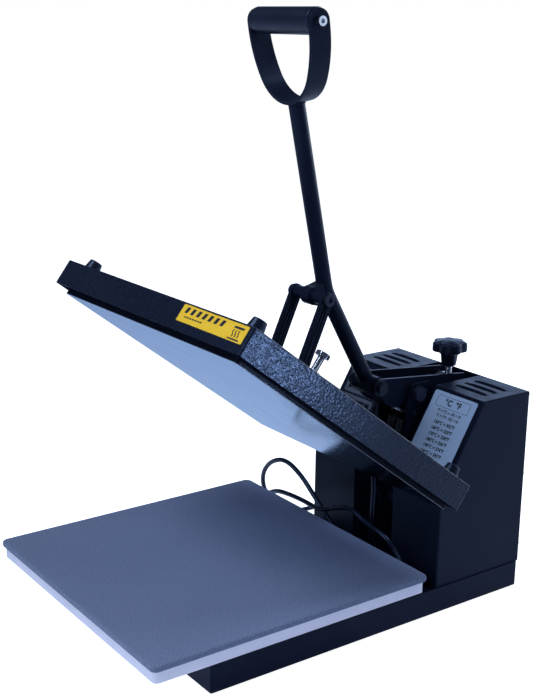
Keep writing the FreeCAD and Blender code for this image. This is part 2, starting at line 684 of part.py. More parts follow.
def platen_springs():
    """Extension springs from the tower's post to the arms' pin, as closed bodies with their end loops."""
    y0, z0 = SPRING_POST
    y1, z1 = opened_point(SPRING_PIN_CLOSED)
    length = math.hypot(y1 - y0, z1 - z0)
    step = ((y1 - y0) / length, (z1 - z0) / length)
    loop = 6.0
    springs = []
    for x in (-9.0, 9.0):
        def along(t):
            return (x, y0 + step[0] * t, z0 + step[1] * t)
        coil = rod_between(along(12), along(length - 12), 6.6)
        rings = [Part.makeTorus(loop, 1.4, V(*along(t)), V(1, 0, 0)) for t in (0, length)]
        necks = [rod_between(along(loop), along(12.5), 1.4),
                 rod_between(along(length - 12.5), along(length - loop), 1.4)]
        springs.append(fuse(coil, *rings, *necks))
    return Part.makeCompound(springs)


# ---------------------------------------------------------------- lever, links, rocker, knob

def lever_path():
    points = [V(0, *LEVER_TOP), V(0, *LEVER_BEND), V(0, *LEVER_PIVOT)]
    return smooth_path(points, [LEVER_BEND_R])


def lever_tube():
    tube = sweep_round(lever_path(), LEVER_R).cut(sweep_round(lever_path(), LEVER_R - 2.5))
    return tube.cut([rod_x(-30, 30, LEVER_PIVOT, 13), grip_strap()])


def pivot_barrel():
    return rod_x(-19.5, 19.5, LEVER_PIVOT, 13).cut(rod_x(-30, 30, LEVER_PIVOT, 5.0 + RUNNING))


def lever_lug():
    y, z = CROSS_TUBE_AXIS
    lug = plate_x([(y - 2, z + 11), (y - 2, z - 11), (y + 30, z - 20), (y + 22, z + 18)], -8, 8)
    lug = fuse(lug, rod_x(-8, 8, CROSS_TUBE_AXIS, 11.5))
    return lug.cut([rod_x(-30, 30, CROSS_TUBE_AXIS, 8.0), sweep_round(lever_path(), LEVER_R)])


def cross_tube():
    return rod_x(-27.9, 27.9, CROSS_TUBE_AXIS, 8.0).cut(rod_x(-30, 30, CROSS_TUBE_AXIS, 5.5))


def in_grip_plane(shape):
    """Place a piece drawn in the x, z plane (y = 0, z up from the lever's top) onto the lever's end."""
    placed = shape.copy()
    placed.rotate(V(0, 0, 0), V(1, 0, 0), GRIP_TILT)
    placed.translate(V(0, *LEVER_TOP))
    return placed


def strap_half(offset):
    """One side of the D: line, side arc and bottom arc, offset from the strap's mid line."""
    side = GRIP_INNER_X + STRAP / 2 + offset
    low = (44.0 + 0.87 * offset, 27.0 - 0.47 * offset)
    shoulder = (side - 0.3, 84.0)
    middle = (53.7 + offset, 52.5 - 0.25 * offset)
    return low, middle, shoulder, (side, GRIP_RISE + STRAP_WIDTH)


def strap_wire(offset):
    low, middle, shoulder, top = strap_half(offset)
    bottom = (0.0, -offset)
    right = [V(p[0], 0, p[1]) for p in (low, middle, shoulder, top)]
    left = [V(-p[0], 0, p[1]) for p in (low, middle, shoulder, top)]
    return [Part.LineSegment(left[3], left[2]).toShape(), Part.Arc(left[2], left[1], left[0]).toShape(),
            Part.Arc(left[0], V(bottom[0], 0, bottom[1]), right[0]).toShape(),
            Part.Arc(right[0], right[1], right[2]).toShape(), Part.LineSegment(right[2], right[3]).toShape()]


def grip_strap():
    """Flat bar bent into a U in the lever's plane, its ends rounded about the grip's axis."""
    half = STRAP / 2
    outer, inner = strap_wire(half), strap_wire(-half)
    ends = [Part.LineSegment(V(s * (GRIP_INNER_X), 0, GRIP_RISE + STRAP_WIDTH),
                             V(s * (GRIP_INNER_X + STRAP), 0, GRIP_RISE + STRAP_WIDTH)).toShape() for s in (-1, 1)]
    section = Part.Face(Part.Wire(Part.__sortEdges__(outer + inner + ends)))
    section.translate(V(0, -STRAP_WIDTH / 2, 0))
    bar = section.extrude(V(0, STRAP_WIDTH, 0))
    envelope = fuse(box(-80, 80, -STRAP_WIDTH / 2, STRAP_WIDTH / 2, -10, GRIP_RISE),
                    rod_x(-80, 80, (0, GRIP_RISE), STRAP_WIDTH / 2))
    sleeve_seat = rod_x(-GRIP_INNER_X, GRIP_INNER_X, (0, GRIP_RISE), SLEEVE_R)
    strap = bar.common(envelope).cut([rod_x(-80, 80, (0, GRIP_RISE), 3.0), sleeve_seat])
    return in_grip_plane(strap)


def grip_sleeve():
    sleeve = rod_x(-GRIP_INNER_X, GRIP_INNER_X, (0, GRIP_RISE), SLEEVE_R)
    sleeve = sleeve.makeFillet(2.0, [e for e in sleeve.Edges if e.Length > 20 and abs(e.CenterOfMass.x) > 50
                                     and e.Curve.TypeId == "Part::GeomCircle"])
    return in_grip_plane(sleeve.cut(rod_x(-80, 80, (0, GRIP_RISE), 3.0)))


def grip_bolts():
    bolts = []
    outer = GRIP_INNER_X + STRAP
    for s in (-1, 1):
        head = rod_x(min(s * outer, s * (outer + 5.5)), max(s * outer, s * (outer + 5.5)), (0, GRIP_RISE), 5.6)
        socket = hex_x(min(s * (outer + 2.5), s * (outer + 8)), max(s * (outer + 2.5), s * (outer + 8)),
                       (0, GRIP_RISE), 5)
        shank = rod_x(min(s * 34, s * outer), max(s * 34, s * outer), (0, GRIP_RISE), 3.0)
        bolts.append(fuse(head, shank).cut(socket))
    return in_grip_plane(Part.makeCompound(bolts))


def link_ends():
    return CROSS_TUBE_AXIS, opened_point(LINK_PIN_CLOSED)


def pressure_links():
    (y1, z1), (y0, z0) = link_ends()
    length = math.hypot(y1 - y0, z1 - z0)
    half = 9.0
    bar = box(*LINK_X, -half, half, 0, length)
    bar = fuse(bar, rod_x(*LINK_X, (0, 0), half), rod_x(*LINK_X, (0, length), half))
    bar = bar.cut([rod_x(20, 40, (0, 0), 5.0 + RUNNING), rod_x(20, 40, (0, length), 5.0)])
    bar.rotate(V(0, 0, 0), V(1, 0, 0), -math.degrees(math.atan2(y1 - y0, z1 - z0)))
    bar.translate(V(0, y0, z0))
    return pair(bar)


def link_bolts():
    bolt = fuse(rod_x(LINK_X[0], LINK_X[1], CROSS_TUBE_AXIS, 5.0), rod_x(LINK_X[1], LINK_X[1] + 4.5, CROSS_TUBE_AXIS, 7.5))
    bolt = bolt.cut(hex_x(LINK_X[1] + 2, LINK_X[1] + 8, CROSS_TUBE_AXIS, 6))
    return pair(bolt)


def rocker_channel():
    outline = [(237.5, 281), (237.5, 287), (243, 291.8), (403, 275.6), (403, 250), (268, 250), (258, 256)]
    side = plate_x(outline, 20, 24, [4, 4, 3, 6, 6, 6, 8])
    floor = box(-20, 20, 268, 374, 250, 253.5)
    channel = fuse(side, mirrored(side), floor)
    return channel.cut([rod_x(-30, 30, LEVER_PIVOT, 5.0), rod_x(-30, 30, ROCKER_PIVOT, 6.0 + RUNNING),
                        rod_x(-30, 30, (SCREW_Y, TRUNNION_Z), 5.0)])


def lever_pivot_bolt():
    bolt = fuse(rod_x(24, 25.6, LEVER_PIVOT, 11), hex_x(25.6, 32, LEVER_PIVOT, 14),
                rod_x(-31.5, 24, LEVER_PIVOT, 5.0))
    nut = hex_x(-31, -24, LEVER_PIVOT, 14).cut(rod_x(-40, -20, LEVER_PIVOT, 5.0))
    return Part.makeCompound([bolt, nut])


def trunnion_nut():
    at = (SCREW_Y, TRUNNION_Z)
    nut = fuse(rod_x(-19.8, 19.8, at, 9), rod_x(-24, 24, at, 5.0))
    return nut.cut(rod_z(240, 290, (0, SCREW_Y), 5.35))


def knob_head():
    """Lobed knob with a domed top on a tapered hub."""
    centre = (0, SCREW_Y)
    disc = rod_z(300, 320, centre, 19.5)
    lobes = []
    for i in range(7):
        a = math.radians(360 / 7 * i)
        lobes.append(rod_z(300, 320, (18.6 * math.cos(a), SCREW_Y + 18.6 * math.sin(a)), 5.4))
    head = fuse(disc, *lobes)
    dome = Part.makeSphere(62, V(0, SCREW_Y, 319.3 - 62))
    underside = Part.makeCone(15, 27, 6, V(0, SCREW_Y, 300)).fuse(rod_z(306, 330, centre, 27))
    head = head.common(dome).common(underside)
    hub = fuse(Part.makeCone(8.5, 11.5, 6, V(0, SCREW_Y, 283)), Part.makeCone(11.5, 13.5, 13, V(0, SCREW_Y, 289)))
    return fuse(head, hub).cut(rod_z(270, 300, centre, 5.0))


def knob_rod():
    """Threaded rod with the two collars that trap it in the thrust block."""
    centre = (0, SCREW_Y)
    return fuse(rod_z(212, 300, centre, 5.0), rod_z(238.15, 244, centre, 9), rod_z(216, 221.85, centre, 9))


NODES = {
    "base_frame": base_frame, "rubber_feet": rubber_feet, "platen_rails": platen_rails, "base_bolts": base_bolts,
    "lower_platen": lower_platen, "silicone_mat": silicone_mat,
    "tower_foot_plate": tower_foot_plate, "tower_plates": tower_plates, "thrust_block": thrust_block,
    "hinge_pin": hinge_pin, "rocker_pivot_bolt": rocker_pivot_bolt, "spring_post": spring_post,
    "left_box_shell": left_box_shell, "right_box_shell": right_box_shell,
    "rear_panel": rear_panel, "rear_panel_screws": rear_panel_screws, "conversion_plate": conversion_plate,
    "controller_bezel": controller_bezel, "display_window": display_window, "control_board": control_board,
    "solid_state_relay": solid_state_relay, "power_switch_body": power_switch_body,
    "power_switch_rocker": power_switch_rocker, "fuse_holder": fuse_holder,
    "cord_strain_relief": cord_strain_relief, "mains_cord": mains_cord, "mains_plug": mains_plug,
    "heater_lead": heater_lead, "platen_springs": platen_springs,
    "lever_tube": lever_tube, "pivot_barrel": pivot_barrel, "lever_lug": lever_lug, "cross_tube": cross_tube,
    "grip_strap": grip_strap, "grip_sleeve": grip_sleeve, "grip_bolts": grip_bolts,
    "pressure_links": pressure_links, "link_bolts": link_bolts,
    "rocker_channel": rocker_channel, "lever_pivot_bolt": lever_pivot_bolt, "trunnion_nut": trunnion_nut,
    "knob_head": knob_head, "knob_rod": knob_rod,
}

UPPER_PLATEN_NODES = {
    "heating_plate": heating_plate, "heating_element": heating_element,
    "insulation_blanket": insulation_blanket, "plate_studs": plate_studs, "platen_cover": platen_cover,
    "cover_caps": cover_caps, "warning_plate": warning_plate, "carrier_base": carrier_base,
    "carrier_bolts": carrier_bolts, "carrier_arms": carrier_arms, "stop_bolt": stop_bolt,
    "hinge_tube": hinge_tube, "carrier_pins": carrier_pins, "lead_gland": lead_gland,
}

BUTTON_NAMES = ("button_set", "button_minus", "button_plus")


def save(name, shape):
    shape.translate(V(0, -FOOTPRINT_CENTRE_Y, 0))
    assert shape.isValid(), name
    shape.exportStep(os.path.join("parts", name + ".step"))


def main():
    os.makedirs("parts", exist_ok=True)
    for name, make in NODES.items():
        save(name, make())
    for name, make in UPPER_PLATEN_NODES.items():
        save(name, opened(make()))
    for name, x in zip(BUTTON_NAMES, BUTTON_X):
        save(name, button(x))


main()
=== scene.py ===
import math

import bmesh
import bpy
from mathutils import Matrix, Vector, noise


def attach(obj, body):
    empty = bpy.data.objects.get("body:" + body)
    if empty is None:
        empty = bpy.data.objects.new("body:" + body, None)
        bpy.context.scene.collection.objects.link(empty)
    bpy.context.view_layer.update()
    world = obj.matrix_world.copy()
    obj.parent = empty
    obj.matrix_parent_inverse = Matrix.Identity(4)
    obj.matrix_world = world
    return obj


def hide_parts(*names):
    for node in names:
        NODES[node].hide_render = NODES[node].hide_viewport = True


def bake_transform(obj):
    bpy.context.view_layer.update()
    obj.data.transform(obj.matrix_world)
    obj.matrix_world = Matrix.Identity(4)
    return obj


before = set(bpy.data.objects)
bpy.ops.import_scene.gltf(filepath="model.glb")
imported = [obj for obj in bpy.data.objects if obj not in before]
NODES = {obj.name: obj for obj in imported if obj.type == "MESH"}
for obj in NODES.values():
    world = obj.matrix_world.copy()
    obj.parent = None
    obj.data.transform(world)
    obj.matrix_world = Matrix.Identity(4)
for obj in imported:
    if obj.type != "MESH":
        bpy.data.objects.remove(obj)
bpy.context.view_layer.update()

# The press is laid out in millimetres with the lower platen's centre over y = 0, as its design is.
# at() turns such a point into the frame's metres. Pairs are (y, z).
SHIFT_Y = 114.45
HINGE = (316.3, 104.3)
OPEN_ANGLE = 37.2
BOX_TOP = 274.4
SLANT_LOW = (263.0, 161.0)
SLANT_HIGH = (331.0, BOX_TOP)


X_AXIS, Y_AXIS, Z_AXIS = Vector((1, 0, 0)), Vector((0, 1, 0)), Vector((0, 0, 1))


def at(x, y, z):
    return Vector((x, y - SHIFT_Y, z)) / 1000


def axes_matrix(x, y, z, origin):
    """Placement with the given axes and origin."""
    rows = [(x[i], y[i], z[i], origin[i]) for i in range(3)]
    return Matrix((*rows, (0, 0, 0, 1)))


OPENING = (Matrix.Translation(at(0, *HINGE)) @ Matrix.Rotation(math.radians(-OPEN_ANGLE), 4, "X")
           @ Matrix.Translation(-at(0, *HINGE)))


def opened(x, y, z):
    """Where a point of the upper platen is at rest, given with the platen closed."""
    return OPENING @ at(x, y, z)


def opened_direction(axis):
    return (OPENING.to_3x3() @ axis).normalized()


def slant_matrix():
    """Frame of the slanted box faces: x across, y up the slope, z out, from the slope's top edge."""
    up = Vector((0, SLANT_HIGH[0] - SLANT_LOW[0], SLANT_HIGH[1] - SLANT_LOW[1])).normalized()
    return axes_matrix(X_AXIS, up, X_AXIS.cross(up), at(0, *SLANT_HIGH))


SLANT = slant_matrix()


# ---------------------------------------------------------------- camera

CAMERA_AT = Vector((1.1463, -0.85455, 0.7371))
CAMERA_RIGHT = Vector((0.5834, 0.8122, 0.0))
CAMERA_UP = Vector((-0.2146, 0.1541, 0.9643))
CAMERA_ROLL = 0.73
CAMERA_LENS = 62.14


def make_camera():
    right, up, roll = CAMERA_RIGHT, CAMERA_UP, math.radians(CAMERA_ROLL)
    across = right * math.cos(roll) + up * math.sin(roll)
    above = up * math.cos(roll) - right * math.sin(roll)
    data = bpy.data.cameras.new("camera")
    data.lens = CAMERA_LENS
    data.sensor_width = 36.0
    data.clip_end = 60
    camera = bpy.data.objects.new("camera", data)
    camera.matrix_world = axes_matrix(across, above, across.cross(above), CAMERA_AT)
    bpy.context.scene.collection.objects.link(camera)
    bpy.context.scene.camera = camera


make_camera()


# ---------------------------------------------------------------- materials

COOL = (0.45, 0.62, 1.0)
SOCKETS = {"metallic": "Metallic", "specular": "Specular IOR Level", "tint": "Specular Tint",
           "sheen": "Sheen Weight", "sheen_roughness": "Sheen Roughness"}


class Graph:
    """A material's node tree, with short calls for the nodes that the finishes share."""

    def __init__(self, name):
        self.material = bpy.data.materials.new(name)
        self.material.use_nodes = True
        self.nodes = self.material.node_tree.nodes
        self.links = self.material.node_tree.links
        self.shader = self.nodes["Principled BSDF"]
        self.place = self.nodes.new("ShaderNodeTexCoord").outputs["Object"]

    def link(self, a, b):
        self.links.new(a, b)

    def stretched(self, scale):
        node = self.nodes.new("ShaderNodeMapping")
        node.inputs["Scale"].default_value = scale
        self.link(self.place, node.inputs["Vector"])
        return node.outputs["Vector"]

    def noise(self, scale, detail=3.0, rough=0.55, vector=None, distortion=0.0):
        node = self.nodes.new("ShaderNodeTexNoise")
        node.inputs["Scale"].default_value = scale
        node.inputs["Detail"].default_value = detail
        node.inputs["Roughness"].default_value = rough
        node.inputs["Distortion"].default_value = distortion
        self.link(vector or self.place, node.inputs["Vector"])
        return node.outputs["Fac"]

    def cells(self, scale, smoothness):
        node = self.nodes.new("ShaderNodeTexVoronoi")
        node.feature = "SMOOTH_F1"
        node.inputs["Scale"].default_value = scale
        node.inputs["Smoothness"].default_value = smoothness
        self.link(self.place, node.inputs["Vector"])
        return node.outputs["Distance"]

    def ramp(self, value, low, high, out_low=0.0, out_high=1.0):
        node = self.nodes.new("ShaderNodeMapRange")
        for socket, number in zip(("From Min", "From Max", "To Min", "To Max"), (low, high, out_low, out_high)):
            node.inputs[socket].default_value = number
        self.link(value, node.inputs["Value"])
        return node.outputs["Result"]

    def math(self, operation, a, b):
        node = self.nodes.new("ShaderNodeMath")
        node.operation = operation
        for socket, value in zip(node.inputs, (a, b)):
            if isinstance(value, (int, float)):
                socket.default_value = value
            else:
                self.link(value, socket)
        return node.outputs["Value"]

    def mix(self, factor, a, b):
        node = self.nodes.new("ShaderNodeMix")
        node.data_type = "RGBA"
        self.link(factor, node.inputs["Factor"])
        for socket, value in zip(node.inputs[6:8], (a, b)):  # the colour sockets A and B
            if isinstance(value, tuple):
                socket.default_value = (*value, 1.0)
            else:
                self.link(value, socket)
        return node.outputs[2]  # the colour result

    def edges(self, radius):
        """1 along convex and concave edges within radius metres, 0 on the faces."""
        bevel = self.nodes.new("ShaderNodeBevel")
        bevel.samples = 4
        bevel.inputs["Radius"].default_value = radius
        geometry = self.nodes.new("ShaderNodeNewGeometry")
        dot = self.nodes.new("ShaderNodeVectorMath")
        dot.operation = "DOT_PRODUCT"
        self.link(bevel.outputs["Normal"], dot.inputs[0])
        self.link(geometry.outputs["True Normal"], dot.inputs[1])
        return self.ramp(self.math("SUBTRACT", 1.0, dot.outputs["Value"]), 0.02, 0.25)

    def bump(self, height, distance, strength, after=None):
        node = self.nodes.new("ShaderNodeBump")
        node.inputs["Strength"].default_value = strength
        node.inputs["Distance"].default_value = distance
        self.link(height, node.inputs["Height"])
        if after is not None:
            self.link(after, node.inputs["Normal"])
        self.link(node.outputs["Normal"], self.shader.inputs["Normal"])
        return node.outputs["Normal"]

    def set(self, **values):
        """Values that are the same all over, on the shader's own sockets."""
        for key, value in values.items():
            self.shader.inputs[SOCKETS[key]].default_value = (*value, 1.0) if key == "tint" else value

    def color(self, socket):
        self.link(socket, self.shader.inputs["Base Color"])

    def roughness(self, socket):
        self.link(socket, self.shader.inputs["Roughness"])


def powder_coat(name):
    """Powder coat: orange peel, faint dust in the colour, and thinner, lighter paint along the edges."""
    g = Graph(name)
    coat = g.mix(g.ramp(g.noise(14.0, 4.0), 0.35, 0.7), (0.0062, 0.0086, 0.02), (0.0082, 0.0112, 0.025))
    rub = g.math("MULTIPLY", g.edges(0.0011), g.ramp(g.noise(90.0, 5.0, 0.7), 0.42, 0.68, 0.0, 0.5))
    g.color(g.mix(rub, coat, (0.04, 0.052, 0.095)))
    g.roughness(g.ramp(g.noise(55.0, 5.0, 0.65), 0.3, 0.7, 0.3, 0.44))
    g.bump(g.noise(1500.0, 2.0), 0.00003, 0.6)
    g.set(specular=0.13, tint=COOL)
    return g.material


def hammered(name):
    """Hammer finish: shallow dimples a few millimetres wide in a glossy coat, with a fine metallic fleck."""
    g = Graph(name)
    warp = g.noise(160.0, 2.0)
    dimples = g.cells(330.0, 0.9)
    fine = g.noise(620.0, 2.0)
    fleck = g.ramp(g.noise(900.0, 2.0), 0.56, 0.74)
    base = g.mix(g.ramp(g.noise(12.0, 3.0), 0.35, 0.7), (0.0052, 0.0072, 0.0165), (0.0072, 0.0098, 0.0215))
    speck = g.mix(g.math("MULTIPLY", fleck, 0.45), base, (0.045, 0.064, 0.125))
    g.color(g.mix(g.math("MULTIPLY", g.edges(0.0012), 0.5), speck, (0.035, 0.046, 0.085)))
    g.roughness(g.ramp(warp, 0.3, 0.7, 0.22, 0.32))
    first = g.bump(g.math("ADD", g.math("MULTIPLY", warp, 0.8), dimples), 0.0006, 0.62)
    g.bump(fine, 0.00012, 0.5, first)
    g.set(specular=0.3, tint=COOL)
    return g.material


def moulded(name, base, tint, roughness, specular=0.4, grain=1100.0, depth=0.00005):
    """Moulded plastic or rubber: fine grain, slight mottling, edges polished by handling."""
    g = Graph(name)
    g.color(g.mix(g.ramp(g.noise(26.0, 5.0, 0.6), 0.35, 0.7), base, tint))
    worn = g.edges(0.0009)
    rough = g.ramp(g.noise(75.0, 4.0), 0.3, 0.7, roughness - 0.05, roughness + 0.07)
    g.roughness(g.math("SUBTRACT", rough, g.math("MULTIPLY", worn, 0.12)))
    g.bump(g.noise(grain, 3.0), depth, 0.5)
    g.set(specular=specular, tint=COOL)
    return g.material


def metal(name, base, tint, roughness, metallic=1.0, specular=0.5):
    """Bare or blackened metal, faintly stained."""
    g = Graph(name)
    lines = g.noise(380.0, 4.0)
    stain = g.noise(40.0, 5.0, 0.65)
    g.color(g.mix(g.ramp(stain, 0.3, 0.72), base, tint))
    g.roughness(g.math("ADD", g.ramp(lines, 0.3, 0.7, roughness - 0.05, roughness + 0.07),
                       g.ramp(stain, 0.4, 0.8, 0.0, 0.08)))
    g.bump(lines, 0.00002, 0.45)
    g.set(metallic=metallic, specular=specular)
    return g.material


def silicone_foam():
    """Matt closed-cell foam pad: fine speckle, shallow pores, broad pressure marks in the tone."""
    g = Graph("silicone_grey")
    speckle = g.ramp(g.noise(560.0, 3.0, 0.75), 0.4, 0.64)
    cloud = g.ramp(g.noise(7.0, 4.0, 0.5), 0.3, 0.72)
    base = g.mix(cloud, (0.115, 0.138, 0.218), (0.135, 0.16, 0.248))
    g.color(g.mix(g.math("MULTIPLY", speckle, 0.6), base, (0.25, 0.29, 0.42)))
    g.roughness(g.ramp(g.noise(60.0, 4.0), 0.3, 0.7, 0.62, 0.8))
    g.bump(g.noise(1500.0, 2.0, 0.6), 0.00012, 0.55)
    g.set(specular=0.06, sheen=0.04, sheen_roughness=0.5)
    return g.material


def pale_aluminium():
    """Milled plate edge: pale and dull, with long faint cutter lines."""
    g = Graph("platen_aluminium")
    lines = g.noise(260.0, 3.0, 0.6, g.stretched((0.06, 0.06, 6.0)))
    stain = g.noise(16.0, 5.0, 0.6)
    g.color(g.mix(g.ramp(stain, 0.3, 0.7), (0.7, 0.67, 0.78), (0.78, 0.74, 0.84)))
    g.roughness(g.ramp(lines, 0.3, 0.7, 0.42, 0.56))
    g.bump(lines, 0.00004, 0.5)
    g.set(metallic=0.35)
    return g.material


def nonstick_face():
    """Smooth coated face of the heating plate, faintly mottled by heat and pressing."""
    g = Graph("nonstick_face")
    mottle = g.noise(7.0, 3.0, 0.5)
    g.color(g.mix(g.ramp(mottle, 0.3, 0.72), (0.4, 0.5, 0.7), (0.44, 0.54, 0.74)))
    g.roughness(g.ramp(g.noise(30.0, 4.0), 0.3, 0.7, 0.12, 0.17))
    g.bump(g.noise(90.0, 2.0), 0.000004, 0.2)
    g.set(metallic=1.0, tint=(0.48, 0.59, 0.7))
    return g.material


def label_metal():
    """Brushed label plate."""
    g = Graph("label_silver")
    brushed = g.noise(700.0, 3.0, 0.6, g.stretched((0.05, 1.0, 1.0)))
    g.color(g.mix(g.ramp(g.noise(30.0, 4.0), 0.3, 0.7), (0.44, 0.58, 0.84), (0.5, 0.65, 0.9)))
    g.roughness(g.ramp(brushed, 0.3, 0.7, 0.34, 0.5))
    g.bump(brushed, 0.00002, 0.5)
    g.set(metallic=0.15)
    return g.material


def printed_yellow():
    """Yellow enamel of the cover's front plate."""
    g = Graph("label_yellow")
    g.color(g.mix(g.ramp(g.noise(60.0, 5.0, 0.6), 0.3, 0.75), (0.82, 0.48, 0.022), (0.88, 0.54, 0.035)))
    g.roughness(g.ramp(g.noise(120.0, 3.0), 0.3, 0.7, 0.34, 0.46))
    g.bump(g.noise(900.0, 2.0), 0.00002, 0.4)
    g.set(specular=0.4)
    return g.material


def fibre_blanket():
    """Tufted ceramic fibre."""
    g = Graph("blanket_white")
    tufts = g.noise(220.0, 6.0, 0.7, distortion=1.2)
    g.color(g.mix(g.ramp(tufts, 0.3, 0.7), (0.55, 0.53, 0.48), (0.8, 0.79, 0.75)))
    g.roughness(g.ramp(tufts, 0.3, 0.7, 0.85, 0.97))
    g.bump(tufts, 0.0015, 0.8)
    g.set(sheen=0.3, sheen_roughness=0.6)
    return g.material


LOOK = {
    "powder_black": powder_coat("powder_black"),
    "hammered_black": hammered("hammered_black"),
    "rubber_black": moulded("rubber_black", (0.004, 0.0052, 0.011), (0.006, 0.0075, 0.0155), 0.55, 0.09),
    "cord_black": moulded("cord_black", (0.005, 0.0065, 0.014), (0.008, 0.01, 0.02), 0.22, 0.45, 600.0, 0.00004),
    "plastic_black": moulded("plastic_black", (0.0065, 0.0088, 0.019), (0.0095, 0.0125, 0.026), 0.34, 0.34),
    "bright_steel": metal("bright_steel", (0.62, 0.65, 0.71), (0.46, 0.49, 0.55), 0.2),
    "spring_steel": metal("spring_steel", (0.3, 0.31, 0.34), (0.2, 0.21, 0.24), 0.3),
    "platen_aluminium": pale_aluminium(),
    "silicone_grey": silicone_foam(),
    "nonstick_plate": moulded("nonstick_side", (0.0028, 0.0038, 0.0085), (0.0045, 0.006, 0.0125), 0.35, 0.07),
    "label_silver": label_metal(),
    "label_yellow": printed_yellow(),
    "display_dark": moulded("display_dark", (0.012, 0.006, 0.009), (0.02, 0.009, 0.012), 0.12, 0.5, 300.0, 0.00001),
    "button_grey": moulded("button_grey", (0.1, 0.115, 0.16), (0.13, 0.15, 0.2), 0.45),
    "switch_red": moulded("switch_red", (0.38, 0.012, 0.014), (0.48, 0.02, 0.02), 0.2, 0.5, 500.0, 0.00002),
    "board_green": moulded("board_green", (0.02, 0.1, 0.045), (0.03, 0.15, 0.065), 0.4),
    "relay_grey": moulded("relay_grey", (0.33, 0.34, 0.36), (0.42, 0.43, 0.45), 0.42),
    "blanket_white": fibre_blanket(),
}
FACE = nonstick_face()
INK = moulded("ink_dark", (0.006, 0.008, 0.016), (0.012, 0.015, 0.026), 0.45, 0.3)
SEGMENT = moulded("segment_dim", (0.09, 0.012, 0.012), (0.12, 0.018, 0.016), 0.3)
GREY_INK = moulded("ink_pale", (0.3, 0.34, 0.42), (0.36, 0.4, 0.48), 0.5)


# ---------------------------------------------------------------- mesh helpers

def piece(name, verts, faces, material, smooth=True):
    """A new mesh object from points in metres and faces, with its finish."""
    mesh = bpy.data.meshes.new(name)
    mesh.from_pydata([tuple(v) for v in verts], [], faces)
    b = bmesh.new()
    b.from_mesh(mesh)
    bmesh.ops.recalc_face_normals(b, faces=b.faces)
    b.to_mesh(mesh)
    b.free()
    for p in mesh.polygons:
        p.use_smooth = smooth
    o = bpy.data.objects.new(name, mesh)
    bpy.context.scene.collection.objects.link(o)
    o.data.materials.append(material)
    return o


def finish_edges(o, width=0.0):
    """Rounded edges and clean shading, as modifiers: the mesh itself stays as it is."""
    if width:
        bevel = o.modifiers.new("edge", "BEVEL")
        bevel.width = width
        bevel.segments = 2
        bevel.limit_method = "ANGLE"
        bevel.angle_limit = math.radians(32.0)
        bevel.use_clamp_overlap = True
        bevel.miter_outer = "MITER_ARC"
    normal = o.modifiers.new("shade", "WEIGHTED_NORMAL")
    normal.keep_sharp = False
    normal.weight = 80


def circle(steps):
    """Angles of a full turn, in radians."""
    return [2 * math.pi * i / steps for i in range(steps)]


def rings_to_mesh(rings, cap_end=True):
    """Faces between rings of equal point counts, with fans at the start and, unless told otherwise, the end."""
    count = len(rings[0])
    verts = [v for ring in rings for v in ring]
    faces = []
    for i in range(len(rings) - 1):
        for j in range(count):
            k = (j + 1) % count
            faces.append((i * count + j, i * count + k, (i + 1) * count + k, (i + 1) * count + j))
    for base in (0, (len(rings) - 1) * count) if cap_end else (0,):
        verts.append(sum(verts[base:base + count], Vector((0, 0, 0))) / count)
        for j in range(count):
            faces.append((base + j, base + (j + 1) % count, len(verts) - 1))
    return verts, faces


def turned(axis_at, axis, profile, steps, shape=lambda a, t, r: (r, t)):
    """A turned piece: profile is (distance along the axis, radius) in mm. shape(angle, t, r) gives radius and t."""
    u = axis.cross(X_AXIS).normalized()
    w = axis.cross(u)
    rings = []
    for t, r in profile:
        ring = []
        for a in circle(steps):
            radius, along = shape(a, t, r)
            ring.append(axis_at + (axis * along + (u * math.cos(a) + w * math.sin(a)) * radius) / 1000)
        rings.append(ring)
    return rings_to_mesh(rings)


def washer(axis_at, axis, levels):
    """A turned ring round a bolt: levels are (t, outer radius) in mm, over a hidden core."""
    core = 4.6
    return turned(axis_at, axis, [(levels[0][0], core), *levels, (levels[-1][0], core)], 40)


def tube_mesh(points, radius, sides, swell=lambda share: 1.0):
    """A round tube along points in metres, without twist. swell(share of the way) scales its radius."""
    rings = []
    normal = None
    last = len(points) - 1
    for i, p in enumerate(points):
        tangent = (points[min(i + 1, last)] - points[max(i - 1, 0)]).normalized()
        if normal is None:
            normal = tangent.orthogonal().normalized()
        normal = (normal - tangent * normal.dot(tangent)).normalized()
        other = tangent.cross(normal)
        r = radius * swell(i / last)
        rings.append([p + (normal * math.cos(a) + other * math.sin(a)) * r for a in circle(sides)])
    return rings_to_mesh(rings)


def joined(parts):
    """Several (verts, faces) as one."""
    verts, faces = [], []
    for v, f in parts:
        base = len(verts)
        verts += list(v)
        faces += [tuple(i + base for i in face) for face in f]
    return verts, faces


def rounded_square(half_x, half_y, r, per_corner=8, per_side=24):
    """Outline of a rounded rectangle, points in order, in mm."""
    out = []
    corners = [(half_x - r, half_y - r, 0), (-half_x + r, half_y - r, 90),
               (-half_x + r, -half_y + r, 180), (half_x - r, -half_y + r, 270)]
    for n, (cx, cy, start) in enumerate(corners):
        for i in range(per_corner + 1):
            a = math.radians(start + 90 * i / per_corner)
            out.append((cx + r * math.cos(a), cy + r * math.sin(a)))
        nx, ny, nstart = corners[(n + 1) % 4]
        a = math.radians(nstart)
        end = (nx + r * math.cos(a), ny + r * math.sin(a))
        here = out[-1]
        for i in range(1, per_side):
            t = i / per_side
            out.append((here[0] + (end[0] - here[0]) * t, here[1] + (end[1] - here[1]) * t))
    return out


